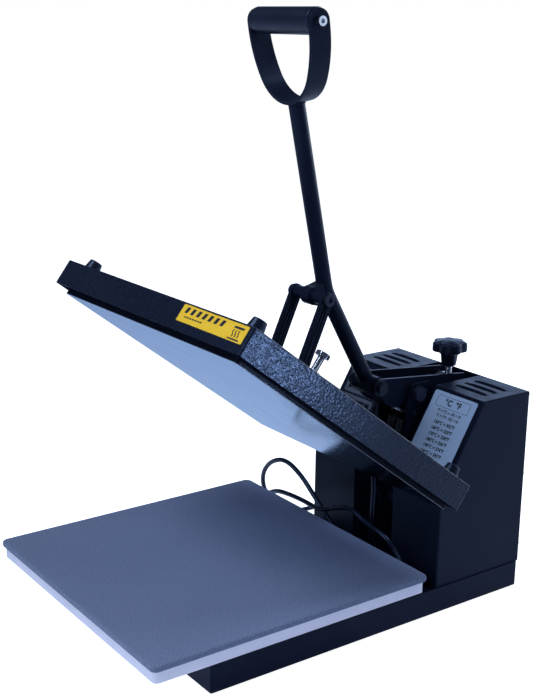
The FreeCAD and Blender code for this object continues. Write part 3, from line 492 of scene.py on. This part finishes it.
def slab(half_x, half_y, corner, levels, place, fill_rings, unevenness=0.0, per_side=24):
    """Rounded slab: levels are (z, inset) from the bottom up, its end faces are filled by rings, and its upper face
    is uneven by some tenths of a millimetre. place maps mm to metres."""
    outline = rounded_square(half_x, half_y, corner, per_side=per_side)
    seed = Vector((half_x, half_y, levels[0][0])) * 0.013

    def ring(z, inset, share=1.0, lift=0.0):
        out = []
        for x, y in outline:
            px, py = x * ((half_x - inset) / half_x * share), y * ((half_y - inset) / half_y * share)
            dz = lift * noise.noise(Vector((px, py, 0)) * 0.012 + seed) if lift else 0.0
            out.append(place(px, py, z + dz))
        return out

    shares = [1 - i / (fill_rings + 1) for i in range(fill_rings + 1)]
    rings = [ring(*levels[0], share) for share in reversed(shares[1:])]
    rings += [ring(*level) for level in levels]
    rings += [ring(*levels[-1], shares[i], unevenness * min(1.0, i / 3)) for i in range(1, fill_rings + 1)]
    return rings_to_mesh(rings)


def hexagon_radius(a, across):
    """Distance from the axis to a hexagon's side at angle a."""
    folded = (a + math.pi / 6) % (math.pi / 3) - math.pi / 6
    return across / 2 / math.cos(folded)


def hex_piece(axis_at, axis, t0, t1, across, both=False):
    """Hexagon head with its corners chamfered by a cone on the t1 side, and on the other where both is set."""
    slope = math.tan(math.radians(30))
    low, high, face = "low", "high", "face"  # which ring of the profile is being placed

    def side(a, t, ring):
        radius = hexagon_radius(a, across)
        drop = (radius - across / 2 * 0.97) * slope
        if ring == low:
            return radius, (t0 + drop if both else t0)
        if ring == high:
            return radius, t1 - drop
        return across / 2 * 0.95, t

    return turned(axis_at, axis, [(t0, face), (t0, low), (t1, high), (t1, face)], 48, side)


def threaded(axis_at, axis, t0, t1, radius=5.0, pitch=1.5):
    """Rod with a helical thread that runs out at both ends."""
    depth = 0.55
    rows = int((t1 - t0) / pitch * 4)

    def side(a, t, r):
        phase = (t / pitch + a / (2 * math.pi)) % 1.0
        fade = max(min(1.0, (t - t0) / pitch, (t1 - t) / pitch), 0.0)
        return radius - depth * abs(2 * phase - 1) * fade - (1 - fade) * depth, t

    return turned(axis_at, axis, [(t0 + (t1 - t0) * i / rows, radius) for i in range(rows + 1)], 28, side)


def place_piece(o, body, node=None):
    """Hang a piece on its body, and hide the CAD node that it stands for, if one is given."""
    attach(o, body)
    if node:
        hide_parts(node)


# ---------------------------------------------------------------- mains cord

CORD_RADIUS = 0.0033
# From the strain relief round the left box, through the two loops behind the pad, and back to the plug.
CORD_ROUTE = [
    (-85, 447, 62), (-86, 480, 58), (-92, 511, 42), (-109, 536, 21), (-137, 546, 6.5),
    (-166, 535, 3.8), (-185, 504, 3.8), (-190, 462, 3.8), (-180, 416, 3.8), (-172, 366, 3.8),
    (-181, 319, 5), (-200, 281, 14), (-212, 253, 36), (-212, 233, 66), (-199, 222, 98),
    (-174, 218, 124), (-142, 220, 137), (-110, 224, 123), (-84, 228, 99), (-57, 232, 74),
    (-25, 235, 52), (10, 237, 41.5), (46, 239, 40), (78, 238, 40.5), (99, 230, 60),
    (99, 219, 87.5), (78, 211.5, 107), (46, 212, 108), (13, 212, 120), (-21, 213, 106),
    (-53, 213, 92), (-87, 214, 93), (-121, 213, 92), (-153, 214, 87), (-182, 218, 71),
    (-203, 228, 48), (-218, 246, 25), (-228, 275, 9), (-233, 313, 3.8), (-230, 357, 3.8),
    (-238, 401, 4.5), (-243, 440, 9), (-246, 474, 11.2),
]


def smooth_curve(name, places, order, resolution):
    """Curve data of one NURBS line that starts and ends at its end points."""
    data = bpy.data.curves.new(name, "CURVE")
    data.dimensions = "3D"
    spline = data.splines.new("NURBS")
    spline.points.add(len(places) - 1)
    for point, place in zip(spline.points, places):
        point.co = (*place, 1.0)
    spline.order_u = order
    spline.use_endpoint_u = True
    spline.resolution_u = resolution
    return data


def mains_cord():
    data = smooth_curve("mains_cord_curve", [at(*place) for place in CORD_ROUTE], 3, 12)
    data.bevel_depth = CORD_RADIUS
    data.bevel_resolution = 6
    data.use_fill_caps = True
    data.materials.append(LOOK["cord_black"])
    o = bpy.data.objects.new("mains_cord_sheath", data)
    bpy.context.scene.collection.objects.link(o)
    place_piece(o, "root", "mains_cord")
    return o


# Along the plug, in mm: distance from the cord's end, half width, half height and corner radius.
PLUG_BODY = [
    (0, 4.2, 4.2, 4.1), (3, 4.7, 4.7, 4.6), (4, 5.2, 5.2, 5.1), (5.4, 5.2, 5.2, 5.1), (6.2, 5.0, 5.0, 4.9),
    (7.2, 5.9, 5.9, 5.8), (8.8, 5.9, 5.9, 5.8), (9.6, 5.6, 5.6, 5.5), (10.6, 6.7, 6.7, 6.5), (12.4, 6.7, 6.7, 6.5),
    (13.2, 6.5, 6.5, 6.2), (15, 7.4, 7.2, 6.6), (17, 10.4, 9.2, 6.0), (19.5, 12.0, 10.2, 5.6), (23, 12.7, 10.8, 5.6),
    (25, 12.1, 10.6, 5.6), (27, 12.8, 10.9, 5.6), (29, 12.2, 10.6, 5.6), (31, 12.9, 10.9, 5.6), (33, 12.3, 10.6, 5.6),
    (35, 13.0, 11.0, 5.6), (39.5, 13.0, 11.0, 5.6), (41.2, 12.5, 10.5, 5.4), (42, 11.4, 9.4, 5.0),
]
PLUG_BLADE = [(41.5, 0.78, 3.2), (57.2, 0.78, 3.2), (58.4, 0.6, 2.9), (59, 0.3, 2.4)]
PLUG_BLADE_AT = [(-6.35, -4.0), (6.35, -4.0)]
PLUG_PIN = [(41.5, 2.4), (59.8, 2.4), (61.3, 1.8), (62, 0.9)]
PLUG_PIN_AT = (0.0, 6.5)


def mains_plug():
    """Moulded plug: ribbed relief, waisted body with finger ridges, two flat blades and a round earth pin."""
    end, before = at(*CORD_ROUTE[-1]), at(*CORD_ROUTE[-2])
    along = (end - before).normalized()
    across = Z_AXIS.cross(along).normalized()
    up = along.cross(across)

    def place(x, y, z):
        return end + (across * x + up * y + along * z) / 1000

    rings = [[place(x, y, z) for x, y in rounded_square(hx, hy, r, 6, 3)] for z, hx, hy, r in PLUG_BODY]
    body = piece("plug_body", *rings_to_mesh(rings), LOOK["rubber_black"])
    parts = []
    for bx, by in PLUG_BLADE_AT:
        blade = [[place(bx + x, by + y, z) for x, y in rounded_square(hx, hy, hx * 0.9, 3, 2)]
                 for z, hx, hy in PLUG_BLADE]
        parts.append(rings_to_mesh(blade))
    px, py = PLUG_PIN_AT
    parts.append(rings_to_mesh([[place(px + r * math.cos(a), py + r * math.sin(a), z) for a in circle(20)]
                                for z, r in PLUG_PIN]))
    pins = piece("plug_pins", *joined(parts), LOOK["bright_steel"])
    finish_edges(pins)
    place_piece(body, "root", "mains_plug")
    place_piece(pins, "root")
    return [body, pins]


cord = mains_cord()
tuple(at(*CORD_ROUTE[0]))
mains_plug()


# ---------------------------------------------------------------- CAD nodes: finishes and edges

# Edge rounding in metres of the nodes that are shown as the CAD has them.
EDGE_WIDTH_OTHERS = 0.0003
EDGE_WIDTH = {
    "platen_cover": 0.0, "left_box_shell": 0.0004, "right_box_shell": 0.0004, "base_frame": 0.0006,
    "lower_platen": 0.0008, "grip_strap": 0.0008, "grip_sleeve": 0.0, "lever_tube": 0.0, "pressure_links": 0.0008,
    "tower_plates": 0.0006, "carrier_arms": 0.0006, "rocker_channel": 0.0006, "conversion_plate": 0.00025,
    "warning_plate": 0.00015, "cross_tube": 0.0006, "controller_bezel": 0.0004, "display_window": 0.0002,
    "control_board": 0.0, "cord_strain_relief": 0.0004,
}
WELD_DISTANCE = 0.000002
DARK_BOLT = metal("bolt_blackened", (0.02, 0.026, 0.045), (0.035, 0.042, 0.065), 0.3, 0.6, 0.3)
BLACKENED = ("link_bolts", "lever_pivot_bolt", "rocker_pivot_bolt")


def dress_cad_nodes():
    """Give each CAD node the finish of its slot, and its edges."""
    for name, o in NODES.items():
        for s in o.material_slots:
            finish = "plastic_black" if name == "controller_bezel" else s.material.name.split(".")[0]
            s.material = DARK_BOLT if name in BLACKENED else LOOK[finish]
        weld = o.modifiers.new("weld", "WELD")
        weld.merge_threshold = WELD_DISTANCE
        finish_edges(o, EDGE_WIDTH.get(name, EDGE_WIDTH_OTHERS))


dress_cad_nodes()


# ---------------------------------------------------------------- lower platen's pad

def press_mat():
    """Foam pad on the lower platen, with a soft rim and a faintly uneven top."""
    levels = [(91.25, 0.9), (91.6, 0.25), (92.4, 0.0), (94.6, -0.15),
              (96.4, 0.0), (97.3, 0.3), (97.9, 0.9), (98.2, 1.7)]
    mat = piece("press_mat", *slab(190.0, 190.0, 7.5, levels, at, 26, 0.12, per_side=40), LOOK["silicone_grey"])
    place_piece(mat, "root", "silicone_mat")


press_mat()


# ---------------------------------------------------------------- heating plate, blanket

def heating_plate():
    """Coated plate: dark sides, a glossy face below, and bare metal on the chamfer between them."""
    levels = [(98.6, 1.0), (98.75, 0.45), (99.1, 0.0), (112.4, 0.0), (113.0, 0.6)]
    plate = piece("heating_plate_coated", *slab(189.0, 190.0, 5.0, levels, opened, 10), LOOK["nonstick_plate"])
    for material in (FACE, LOOK["spring_steel"]):
        plate.data.materials.append(material)
    face, chamfer = 1, 2
    down = opened_direction(-Z_AXIS)
    for p in plate.data.polygons:
        toward = p.normal.dot(down)
        if toward > 0.5:
            p.material_index = face if toward > 0.9 else chamfer
    finish_edges(plate)
    place_piece(plate, "platen", "heating_plate")


def fibre_pad():
    """Insulation blanket inside the cover."""
    levels = [(121.2, 6.0), (122.4, 2.0), (124.5, 0.3), (128.5, 0.0), (132.5, 0.4), (134.6, 2.2), (135.6, 6.0)]
    pad = piece("fibre_pad", *slab(172.0, 168.0, 10.0, levels, opened, 16, 0.35), LOOK["blanket_white"])
    place_piece(pad, "platen", "insulation_blanket")


heating_plate()
fibre_pad()


# ---------------------------------------------------------------- springs and heater lead

SPRING_POST = (304.0, 236.0)
SPRING_PIN_CLOSED = (250.0, 150.0)
SPRING_X = (-9.0, 9.0)
SPRING_WIRE = 0.00095
LEAD_RADIUS = 0.0039


def spring_line(x, start, end):
    """Centre line of an extension spring's wire: hook, close coils, hook."""
    a, b = Vector((x, *start)), Vector((x, *end))
    along = (b - a).normalized()
    flat = along.cross(X_AXIS)
    hook, hook_steps, coil, turns = 5.6, 14, 5.5, 13
    coil_start, coil_end = 12.0, (b - a).length - 12.0
    points = []
    for i in range(hook_steps + 1):
        t = math.radians(-60 + 240 * i / hook_steps)
        points.append(a - along * hook * math.sin(t) + flat * hook * math.cos(t))
    steps = turns * 18
    for i in range(steps + 1):
        t = i / steps
        angle = 2 * math.pi * turns * t + math.pi
        points.append(a + along * (coil_start + (coil_end - coil_start) * t)
                      + (flat * math.cos(angle) + X_AXIS * math.sin(angle)) * coil)
    for i in range(hook_steps + 1):
        t = math.radians(180 - 240 * i / hook_steps)
        points.append(b + along * hook * math.sin(t) + flat * hook * math.cos(t))
    return [at(*p) for p in points]


def platen_springs():
    """The two springs from the tower's post to the arms' pin."""
    pin = opened(0, *SPRING_PIN_CLOSED)
    end = (pin.y * 1000 + SHIFT_Y, pin.z * 1000)
    parts = [tube_mesh(spring_line(x, SPRING_POST, end), SPRING_WIRE, 8) for x in SPRING_X]
    springs = piece("tension_springs", *joined(parts), LOOK["spring_steel"])
    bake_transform(springs)
    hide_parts("platen_springs")


def points_and_faces(data):
    """The mesh that a curve or text makes, as points and faces. The curve or text is removed."""
    mesh = bpy.data.meshes.new_from_object(bpy.data.objects.new(data.name, data))
    points = [v.co.copy() for v in mesh.vertices]
    faces = [tuple(p.vertices) for p in mesh.polygons]
    bpy.data.meshes.remove(mesh)
    bpy.data.curves.remove(data)
    return points, faces


def heater_lead():
    """Sleeved lead from the gland on the cover down to the hole in the base."""
    start = opened(0, 202, 121)
    away = opened_direction(Y_AXIS)
    knots = [start - away * 0.008, start + away * 0.01, start + away * 0.024, at(0, 268, 138), at(0, 262, 90),
             at(0, 268, 60), at(0, 270, 44), at(0, 270, 29.8)]
    line, _ = points_and_faces(smooth_curve("lead_line", knots, 4, 16))
    lead = piece("heater_lead_sleeve", *tube_mesh(line, LEAD_RADIUS, 16), LOOK["cord_black"])
    tuple(line[-1])
    tuple(line[0])
    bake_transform(lead)
    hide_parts("heater_lead")


platen_springs()
heater_lead()


# ---------------------------------------------------------------- knob, pressure screw, stop bolt

SCREW_Y = 391.0


# Up the knob, in mm: height, mean radius and how far its seven lobes stand out and its hollows go in.
KNOB_PROFILE = [
    (283.0, 4.9, 0.0), (283.0, 8.9, 0.0), (283.8, 9.8, 0.0), (290.0, 10.7, 0.1), (296.0, 11.3, 0.2),
    (299.5, 12.2, 0.4), (301.2, 14.6, 0.9), (302.4, 18.6, 1.6), (303.4, 21.0, 2.1), (305.0, 21.75, 2.25),
    (313.6, 21.75, 2.25), (315.2, 21.2, 2.2), (316.3, 20.0, 1.9), (317.0, 18.0, 1.3), (317.9, 13.5, 0.6),
    (318.7, 8.6, 0.1), (318.8, 8.0, 0.0), (318.5, 7.4, 0.0), (318.6, 6.0, 0.0), (319.1, 0.6, 0.0),
]


def knob():
    """Seven-lobed knob head on its hub."""
    reach = {z: lobe for z, _, lobe in KNOB_PROFILE}

    def lobed(a, t, r):
        return r + reach[t] * (1 - 2 * abs(math.sin(3.5 * a)) ** 2.4), t

    mesh = turned(at(0, SCREW_Y, 0), Z_AXIS, [(z, r) for z, r, _ in KNOB_PROFILE], 140, lobed)
    o = piece("star_knob", *mesh, LOOK["plastic_black"])
    finish_edges(o)
    place_piece(o, "knob", "knob_head")


def pressure_screw():
    """Threaded rod under the knob, with a collar above and below the thrust block."""
    centre = at(0, SCREW_Y, 0)
    parts = [threaded(centre, Z_AXIS, 212.0, 300.0),
             washer(centre, Z_AXIS, [(238.15, 8.7), (238.5, 9.0), (243.6, 9.0), (244.0, 8.6)]),
             washer(centre, Z_AXIS, [(216.0, 8.6), (216.4, 9.0), (221.5, 9.0), (221.85, 8.7)])]
    o = piece("pressure_screw", *joined(parts), LOOK["bright_steel"])
    finish_edges(o)
    place_piece(o, "knob", "knob_rod")


def stop_bolt():
    """Bright bolt on the carrier, with its lock nut and washer."""
    foot, up = opened(0, 63.6, 0), opened_direction(Z_AXIS)
    under_head, top, wrench = 193.1, 199.5, 17.0
    parts = [hex_piece(foot, up, under_head, top, wrench), threaded(foot, up, 152.0, under_head),
             hex_piece(foot, up, 167.9, 173.0, wrench, True),
             washer(foot, up, [(167.0, 9.7), (167.3, 9.9), (167.6, 9.9), (167.9, 9.7)])]
    o = piece("stop_bolt_bright", *joined(parts), LOOK["bright_steel"])
    finish_edges(o)
    place_piece(o, "platen", "stop_bolt")


knob()
pressure_screw()
stop_bolt()


# ---------------------------------------------------------------- welds

LEVER_TOP = (121.4, 645.0)
LEVER_BEND = (171.5, 413.0)
CROSS_TUBE = (150.0, 410.0)


def weld_ring(name, centre, axis, u, radius, bead, steps):
    """A ring of weld on the lever: a low rope of overlapping ripples. Lengths are in metres."""
    w = axis.cross(u)
    path = [centre + (u * math.cos(a) + w * math.sin(a)) * radius
            for a in (math.radians(360 * i / steps) for i in range(steps + 1))]
    line = [path[i].lerp(path[i + 1], j / 6) for i in range(steps) for j in range(6)] + [path[-1]]
    mesh = tube_mesh(line, bead, 8, lambda share: 0.8 + 0.2 * math.sin(share * len(path) * 4.0))
    place_piece(piece(name, *mesh, LOOK["powder_black"]), "lever")


def welds():
    top = at(0, *LEVER_TOP)
    lean = (top - at(0, *LEVER_BEND)).normalized()
    weld_ring("weld_grip", top - lean * 0.0015, lean, X_AXIS, 0.0102, 0.0017, 30)
    for name, x in (("weld_lug_left", -9.2), ("weld_lug_right", 9.2)):
        weld_ring(name, at(x, *CROSS_TUBE), X_AXIS, Y_AXIS, 0.0088, 0.0012, 24)


welds()


# ---------------------------------------------------------------- printed plates

INK_HEIGHT = 0.12
BAR_FACES = [(0, 3, 2, 1), (4, 5, 6, 7), (0, 1, 5, 4), (1, 2, 6, 5), (2, 3, 7, 6), (3, 0, 4, 7)]


def ink_bar(corners):
    """A thin printed quadrangle in a plate's own frame, from its four corners in mm."""
    return [Vector((x, y, z)) for z in (0.0, INK_HEIGHT) for x, y in corners], BAR_FACES


def flat_bar(x0, x1, y0, y1, slant=0.0):
    """A printed bar, its top shifted sideways by slant."""
    return ink_bar([(x0, y0), (x1, y0), (x1 + slant, y1), (x0 + slant, y1)])


def frame_line(half_x, half_y, r, width, centre):
    """A printed outline: a thin rounded frame."""
    outer = rounded_square(half_x, half_y, r, 5, 2)
    inner = rounded_square(half_x - width, half_y - width, r - width, 5, 2)
    count = len(outer)
    verts = [Vector((centre[0] + x, centre[1] + y, z))
             for z in (0.0, INK_HEIGHT) for line in (outer, inner) for x, y in line]
    faces = []
    for i in range(count):
        j = (i + 1) % count
        faces.append((2 * count + i, 2 * count + j, 3 * count + j, 3 * count + i))
        faces.append((i, count + i, count + j, j))
        faces.append((i, j, 2 * count + j, 2 * count + i))
        faces.append((count + i, 3 * count + i, 3 * count + j, count + j))
    return verts, faces


def lettered(body, size, centre, thickness):
    """Raised ink of a text line in a plate's own frame: verts in mm and faces."""
    data = bpy.data.curves.new("line", "FONT")
    data.body = body
    data.size = size
    data.align_x = "CENTER"
    data.align_y = "CENTER"
    data.extrude = INK_HEIGHT / 2
    data.offset = thickness
    data.resolution_u = 3
    points, faces = points_and_faces(data)
    return [Vector((p.x + centre[0], p.y + centre[1], p.z + INK_HEIGHT / 2)) for p in points], faces


def printed(name, parts, matrix, lift, material, body):
    """Printed marks laid on a plate: lift is the plate's height over its own frame, in mm."""
    verts, faces = joined(parts)
    verts = [matrix @ (Vector((v.x, v.y, v.z + lift)) / 1000) for v in verts]
    place_piece(piece(name, verts, faces, material, smooth=False), body)


def conversion_marks():
    """Plain temperature table: a framed heading and rows of numbers."""
    x = 82.5
    parts = [frame_line(29.0, 7.6, 2.6, 0.5, (x, -17.5)), lettered("°C  °F", 11.5, (x, -17.5), 0.35),
             lettered("°F = (°C x 1.8) + 32", 5.2, (x, -29.8), 0.16),
             lettered("°C = (°F - 32) / 1.8", 5.2, (x, -36.6), 0.16)]
    for i, celsius in enumerate((150, 160, 170, 180, 190, 200)):
        row = "%d°C = %d°F" % (celsius, round(celsius * 1.8 + 32))
        parts.append(lettered(row, 6.2, (x, -45.6 - 8.3 * i), 0.22))
    printed("conversion_rows", parts, SLANT, 0.8, INK, "root")


def display_marks():
    """Unlit digits behind the window, marks over the three keys and their pilot lamps."""
    middle_x, middle_y = -84, -30
    half_width, half_length = 0.55, 2.3
    parts = []
    for cx in (middle_x + offset for offset in (-15, -5, 5, 15)):
        for y in (middle_y - 6, middle_y, middle_y + 6):
            parts.append(flat_bar(cx - half_length, cx + half_length, y - half_width, y + half_width, 0.15))
        for x in (cx - 3, cx + 3):
            for y in (middle_y - 3, middle_y + 3):
                parts.append(flat_bar(x - half_width, x + half_width, y - 2, y + 2, 0.5))
    printed("display_digits", parts, SLANT, 2.0, SEGMENT, "root")
    film = [frame_line(33.0, 20.0, 3.0, 5.7, (middle_x, middle_y)), frame_line(33.0, 19.0, 3.0, 5.0, (middle_x, -72))]
    printed("keypad_film", film, SLANT, 2.2, LOOK["button_grey"], "root")
    marks = [flat_bar(-87, -81, -86.4, -85.6), flat_bar(-103.6, -98.4, -86.4, -85.6),
             flat_bar(-69.6, -64.4, -86.4, -85.6), flat_bar(-67.4, -66.6, -88.6, -83.4)]
    printed("keypad_marks", marks, SLANT, 2.2, GREY_INK, "root")


def cover_plate_marks():
    """Plain slanted stripes, two ruled lines and three heat waves over a bar, on the cover's front plate."""
    matrix = axes_matrix(X_AXIS, opened_direction(Z_AXIS), opened_direction(-Y_AXIS), opened(136.0, -202.5, 125.2))
    parts = [flat_bar(-54 + 11.2 * i, -48.6 + 11.2 * i, 0.6, 7.6, 2.6) for i in range(7)]
    parts += [flat_bar(-50 + 5.0 * i, -46.2 + 5.0 * i, -4.4, -2.8) for i in range(7)]
    parts.append(flat_bar(35, 55, -8.6, -7.0))
    steps, half_width = 13, 0.8
    for cx in (40.0, 44.8, 49.6):
        wave = [(cx + 0.9 * math.sin(k / steps * 2 * math.pi), -5.6 + 8.4 * k / steps) for k in range(steps + 1)]
        for (x0, y0), (x1, y1) in zip(wave, wave[1:]):
            parts.append(ink_bar([(x0 - half_width, y0), (x0 + half_width, y0),
                                  (x1 + half_width, y1), (x1 - half_width, y1)]))
    parts.append(flat_bar(37, 54, 4.2, 6.6, 2.0))
    printed("cover_plate_marks", parts, matrix, 0.0, INK, "platen")


conversion_marks()
display_marks()
cover_plate_marks()


# ---------------------------------------------------------------- pressed lips of the louvres

LIP_Y = (351.0, 368.5, 386.0)
LIP_X, LIP_HALF, LIP_REACH, LIP_RISE = 83, 30.5, 3.4, 1.5
LIP_STEPS, LIP_ROWS = 24, 6


def lip(side, y):
    """One pressed lip: a low bulge behind its slot, closed below by a copy of it flattened into the box's top."""
    rows = []
    for k in range(LIP_ROWS + 1):
        share = k / LIP_ROWS
        row = []
        for i in range(LIP_STEPS + 1):
            t = -1 + 2 * i / LIP_STEPS
            width = LIP_REACH * math.sqrt(max(0.0, 1 - abs(t) ** 4))
            rise = LIP_RISE * math.sin(math.pi * share) ** 0.8 * (1 - abs(t) ** 3)
            row.append(at(side * LIP_X + t * LIP_HALF, y + 2.6 + width * share * 1.25,
                          BOX_TOP + 0.02 + max(0.0, rise)))
        rows.append(row)
    verts = [v for row in rows for v in row]
    across = LIP_STEPS + 1
    faces = [(a * across + b, a * across + b + 1, (a + 1) * across + b + 1, (a + 1) * across + b)
             for a in range(LIP_ROWS) for b in range(LIP_STEPS)]
    base = len(verts)
    verts += [Vector((v.x, v.y, (BOX_TOP - 0.2) / 1000)) for v in verts]
    faces += [tuple(base + i for i in reversed(f)) for f in faces]
    border = list(range(across)) + [across * a + LIP_STEPS for a in range(1, LIP_ROWS + 1)]
    border += [LIP_ROWS * across + i for i in range(LIP_STEPS - 1, -1, -1)]
    border += [across * a for a in range(LIP_ROWS - 1, 0, -1)]
    for a, b in zip(border, border[1:] + border[:1]):
        faces.append((a, base + a, base + b, b))
    return verts, faces


def louvre_lips():
    parts = [lip(side, y) for side in (-1, 1) for y in LIP_Y]
    place_piece(piece("louvre_lips", *joined(parts), LOOK["powder_black"]), "root")


louvre_lips()


# ---------------------------------------------------------------- floor and light

SKY = (0.5, 0.66, 1.0)


def stage():
    """Pale floor that the camera sees as white, and that lights the press less and in a cooler tone."""
    g = Graph("floor_pale")
    g.color(g.mix(g.ramp(g.noise(1.2, 3.0), 0.3, 0.7), (0.86, 0.87, 0.9), (0.88, 0.89, 0.92)))
    g.roughness(g.ramp(g.noise(5.0, 3.0), 0.3, 0.7, 0.6, 0.7))
    g.set(specular=0.1)
    seen = g.nodes.new("ShaderNodeLightPath").outputs["Is Camera Ray"]
    g.link(g.mix(seen, SKY, (1.0, 1.0, 1.0)), g.shader.inputs["Emission Color"])
    g.link(g.ramp(seen, 0.0, 1.0, 0.3, 0.97), g.shader.inputs["Emission Strength"])
    rings = [[Vector((r * math.cos(a), r * math.sin(a), -0.0002)) for a in circle(96)]
             for r in (0.5, 2.0, 8.0, 30.0)]
    floor = piece("floor", *rings_to_mesh(rings, cap_end=False), g.material)
    for p in floor.data.polygons:
        if p.normal.z < 0:
            p.flip()


def softbox(name, place, target, size, power, color=(0.72, 0.84, 1.0), spread=180):
    """Area light at place that faces target, in metres and watts, unseen by the camera."""
    data = bpy.data.lights.new(name, "AREA")
    data.shape = "RECTANGLE"
    data.size, data.size_y = size
    data.energy = power
    data.color = color
    data.spread = math.radians(spread)
    o = bpy.data.objects.new(name, data)
    o.location = place
    o.rotation_mode = "QUATERNION"
    o.rotation_quaternion = (Vector(target) - Vector(place)).to_track_quat("-Z", "Y")
    o.visible_camera = False
    bpy.context.scene.collection.objects.link(o)


def lights():
    """White backdrop, faint cool sky light, and soft boxes all round."""
    world = bpy.data.worlds.new("studio")
    world.use_nodes = True
    nodes, links = world.node_tree.nodes, world.node_tree.links
    background, backdrop = nodes["Background"], nodes.new("ShaderNodeBackground")
    for node, color, strength in ((background, SKY, 0.1), (backdrop, (1.0, 1.0, 1.0), 1.0)):
        node.inputs["Color"].default_value = (*color, 1.0)
        node.inputs["Strength"].default_value = strength
    mix = nodes.new("ShaderNodeMixShader")
    path = nodes.new("ShaderNodeLightPath")
    links.new(path.outputs["Is Camera Ray"], mix.inputs["Fac"])
    links.new(background.outputs[0], mix.inputs[1])
    links.new(backdrop.outputs[0], mix.inputs[2])
    links.new(mix.outputs[0], nodes["World Output"].inputs["Surface"])
    bpy.context.scene.world = world
    softbox("key_top", (-0.25, -0.85, 1.7), (0, -0.2, 0.1), (0.8, 0.45), 14)
    softbox("key_near", (0.3, -0.8, 0.62), (0.05, -0.2, 0.1), (0.35, 0.35), 2.0)
    softbox("key_front", (-0.5, -2.3, 1.0), (0, -0.25, 0.2), (1.2, 0.8), 8)
    softbox("left_back", (-1.75, 2.0, 0.95), (0, 0.25, 0.28), (1.6, 0.9), 9, (0.45, 0.62, 1.0))
    softbox("top_back", (0.5, 1.0, 1.7), (0, 0, 0.25), (0.5, 0.3), 9, (0.6, 0.74, 1.0))
    softbox("back_fill", (0.3, 2.7, 0.9), (0, 0.3, 0.2), (1.8, 1.0), 26)
    softbox("low_right", (1.2, 0.46, 0.06), (0.2, -0.21, 0.4), (0.2, 0.12), 0.05, (0.58, 0.74, 1.0), 15)
    softbox("right_back", (1.7, 1.5, 0.9), (0, 0, 0.3), (0.5, 1.2), 3)


stage()
lights()
bpy.context.scene.view_settings.view_transform = "Standard"
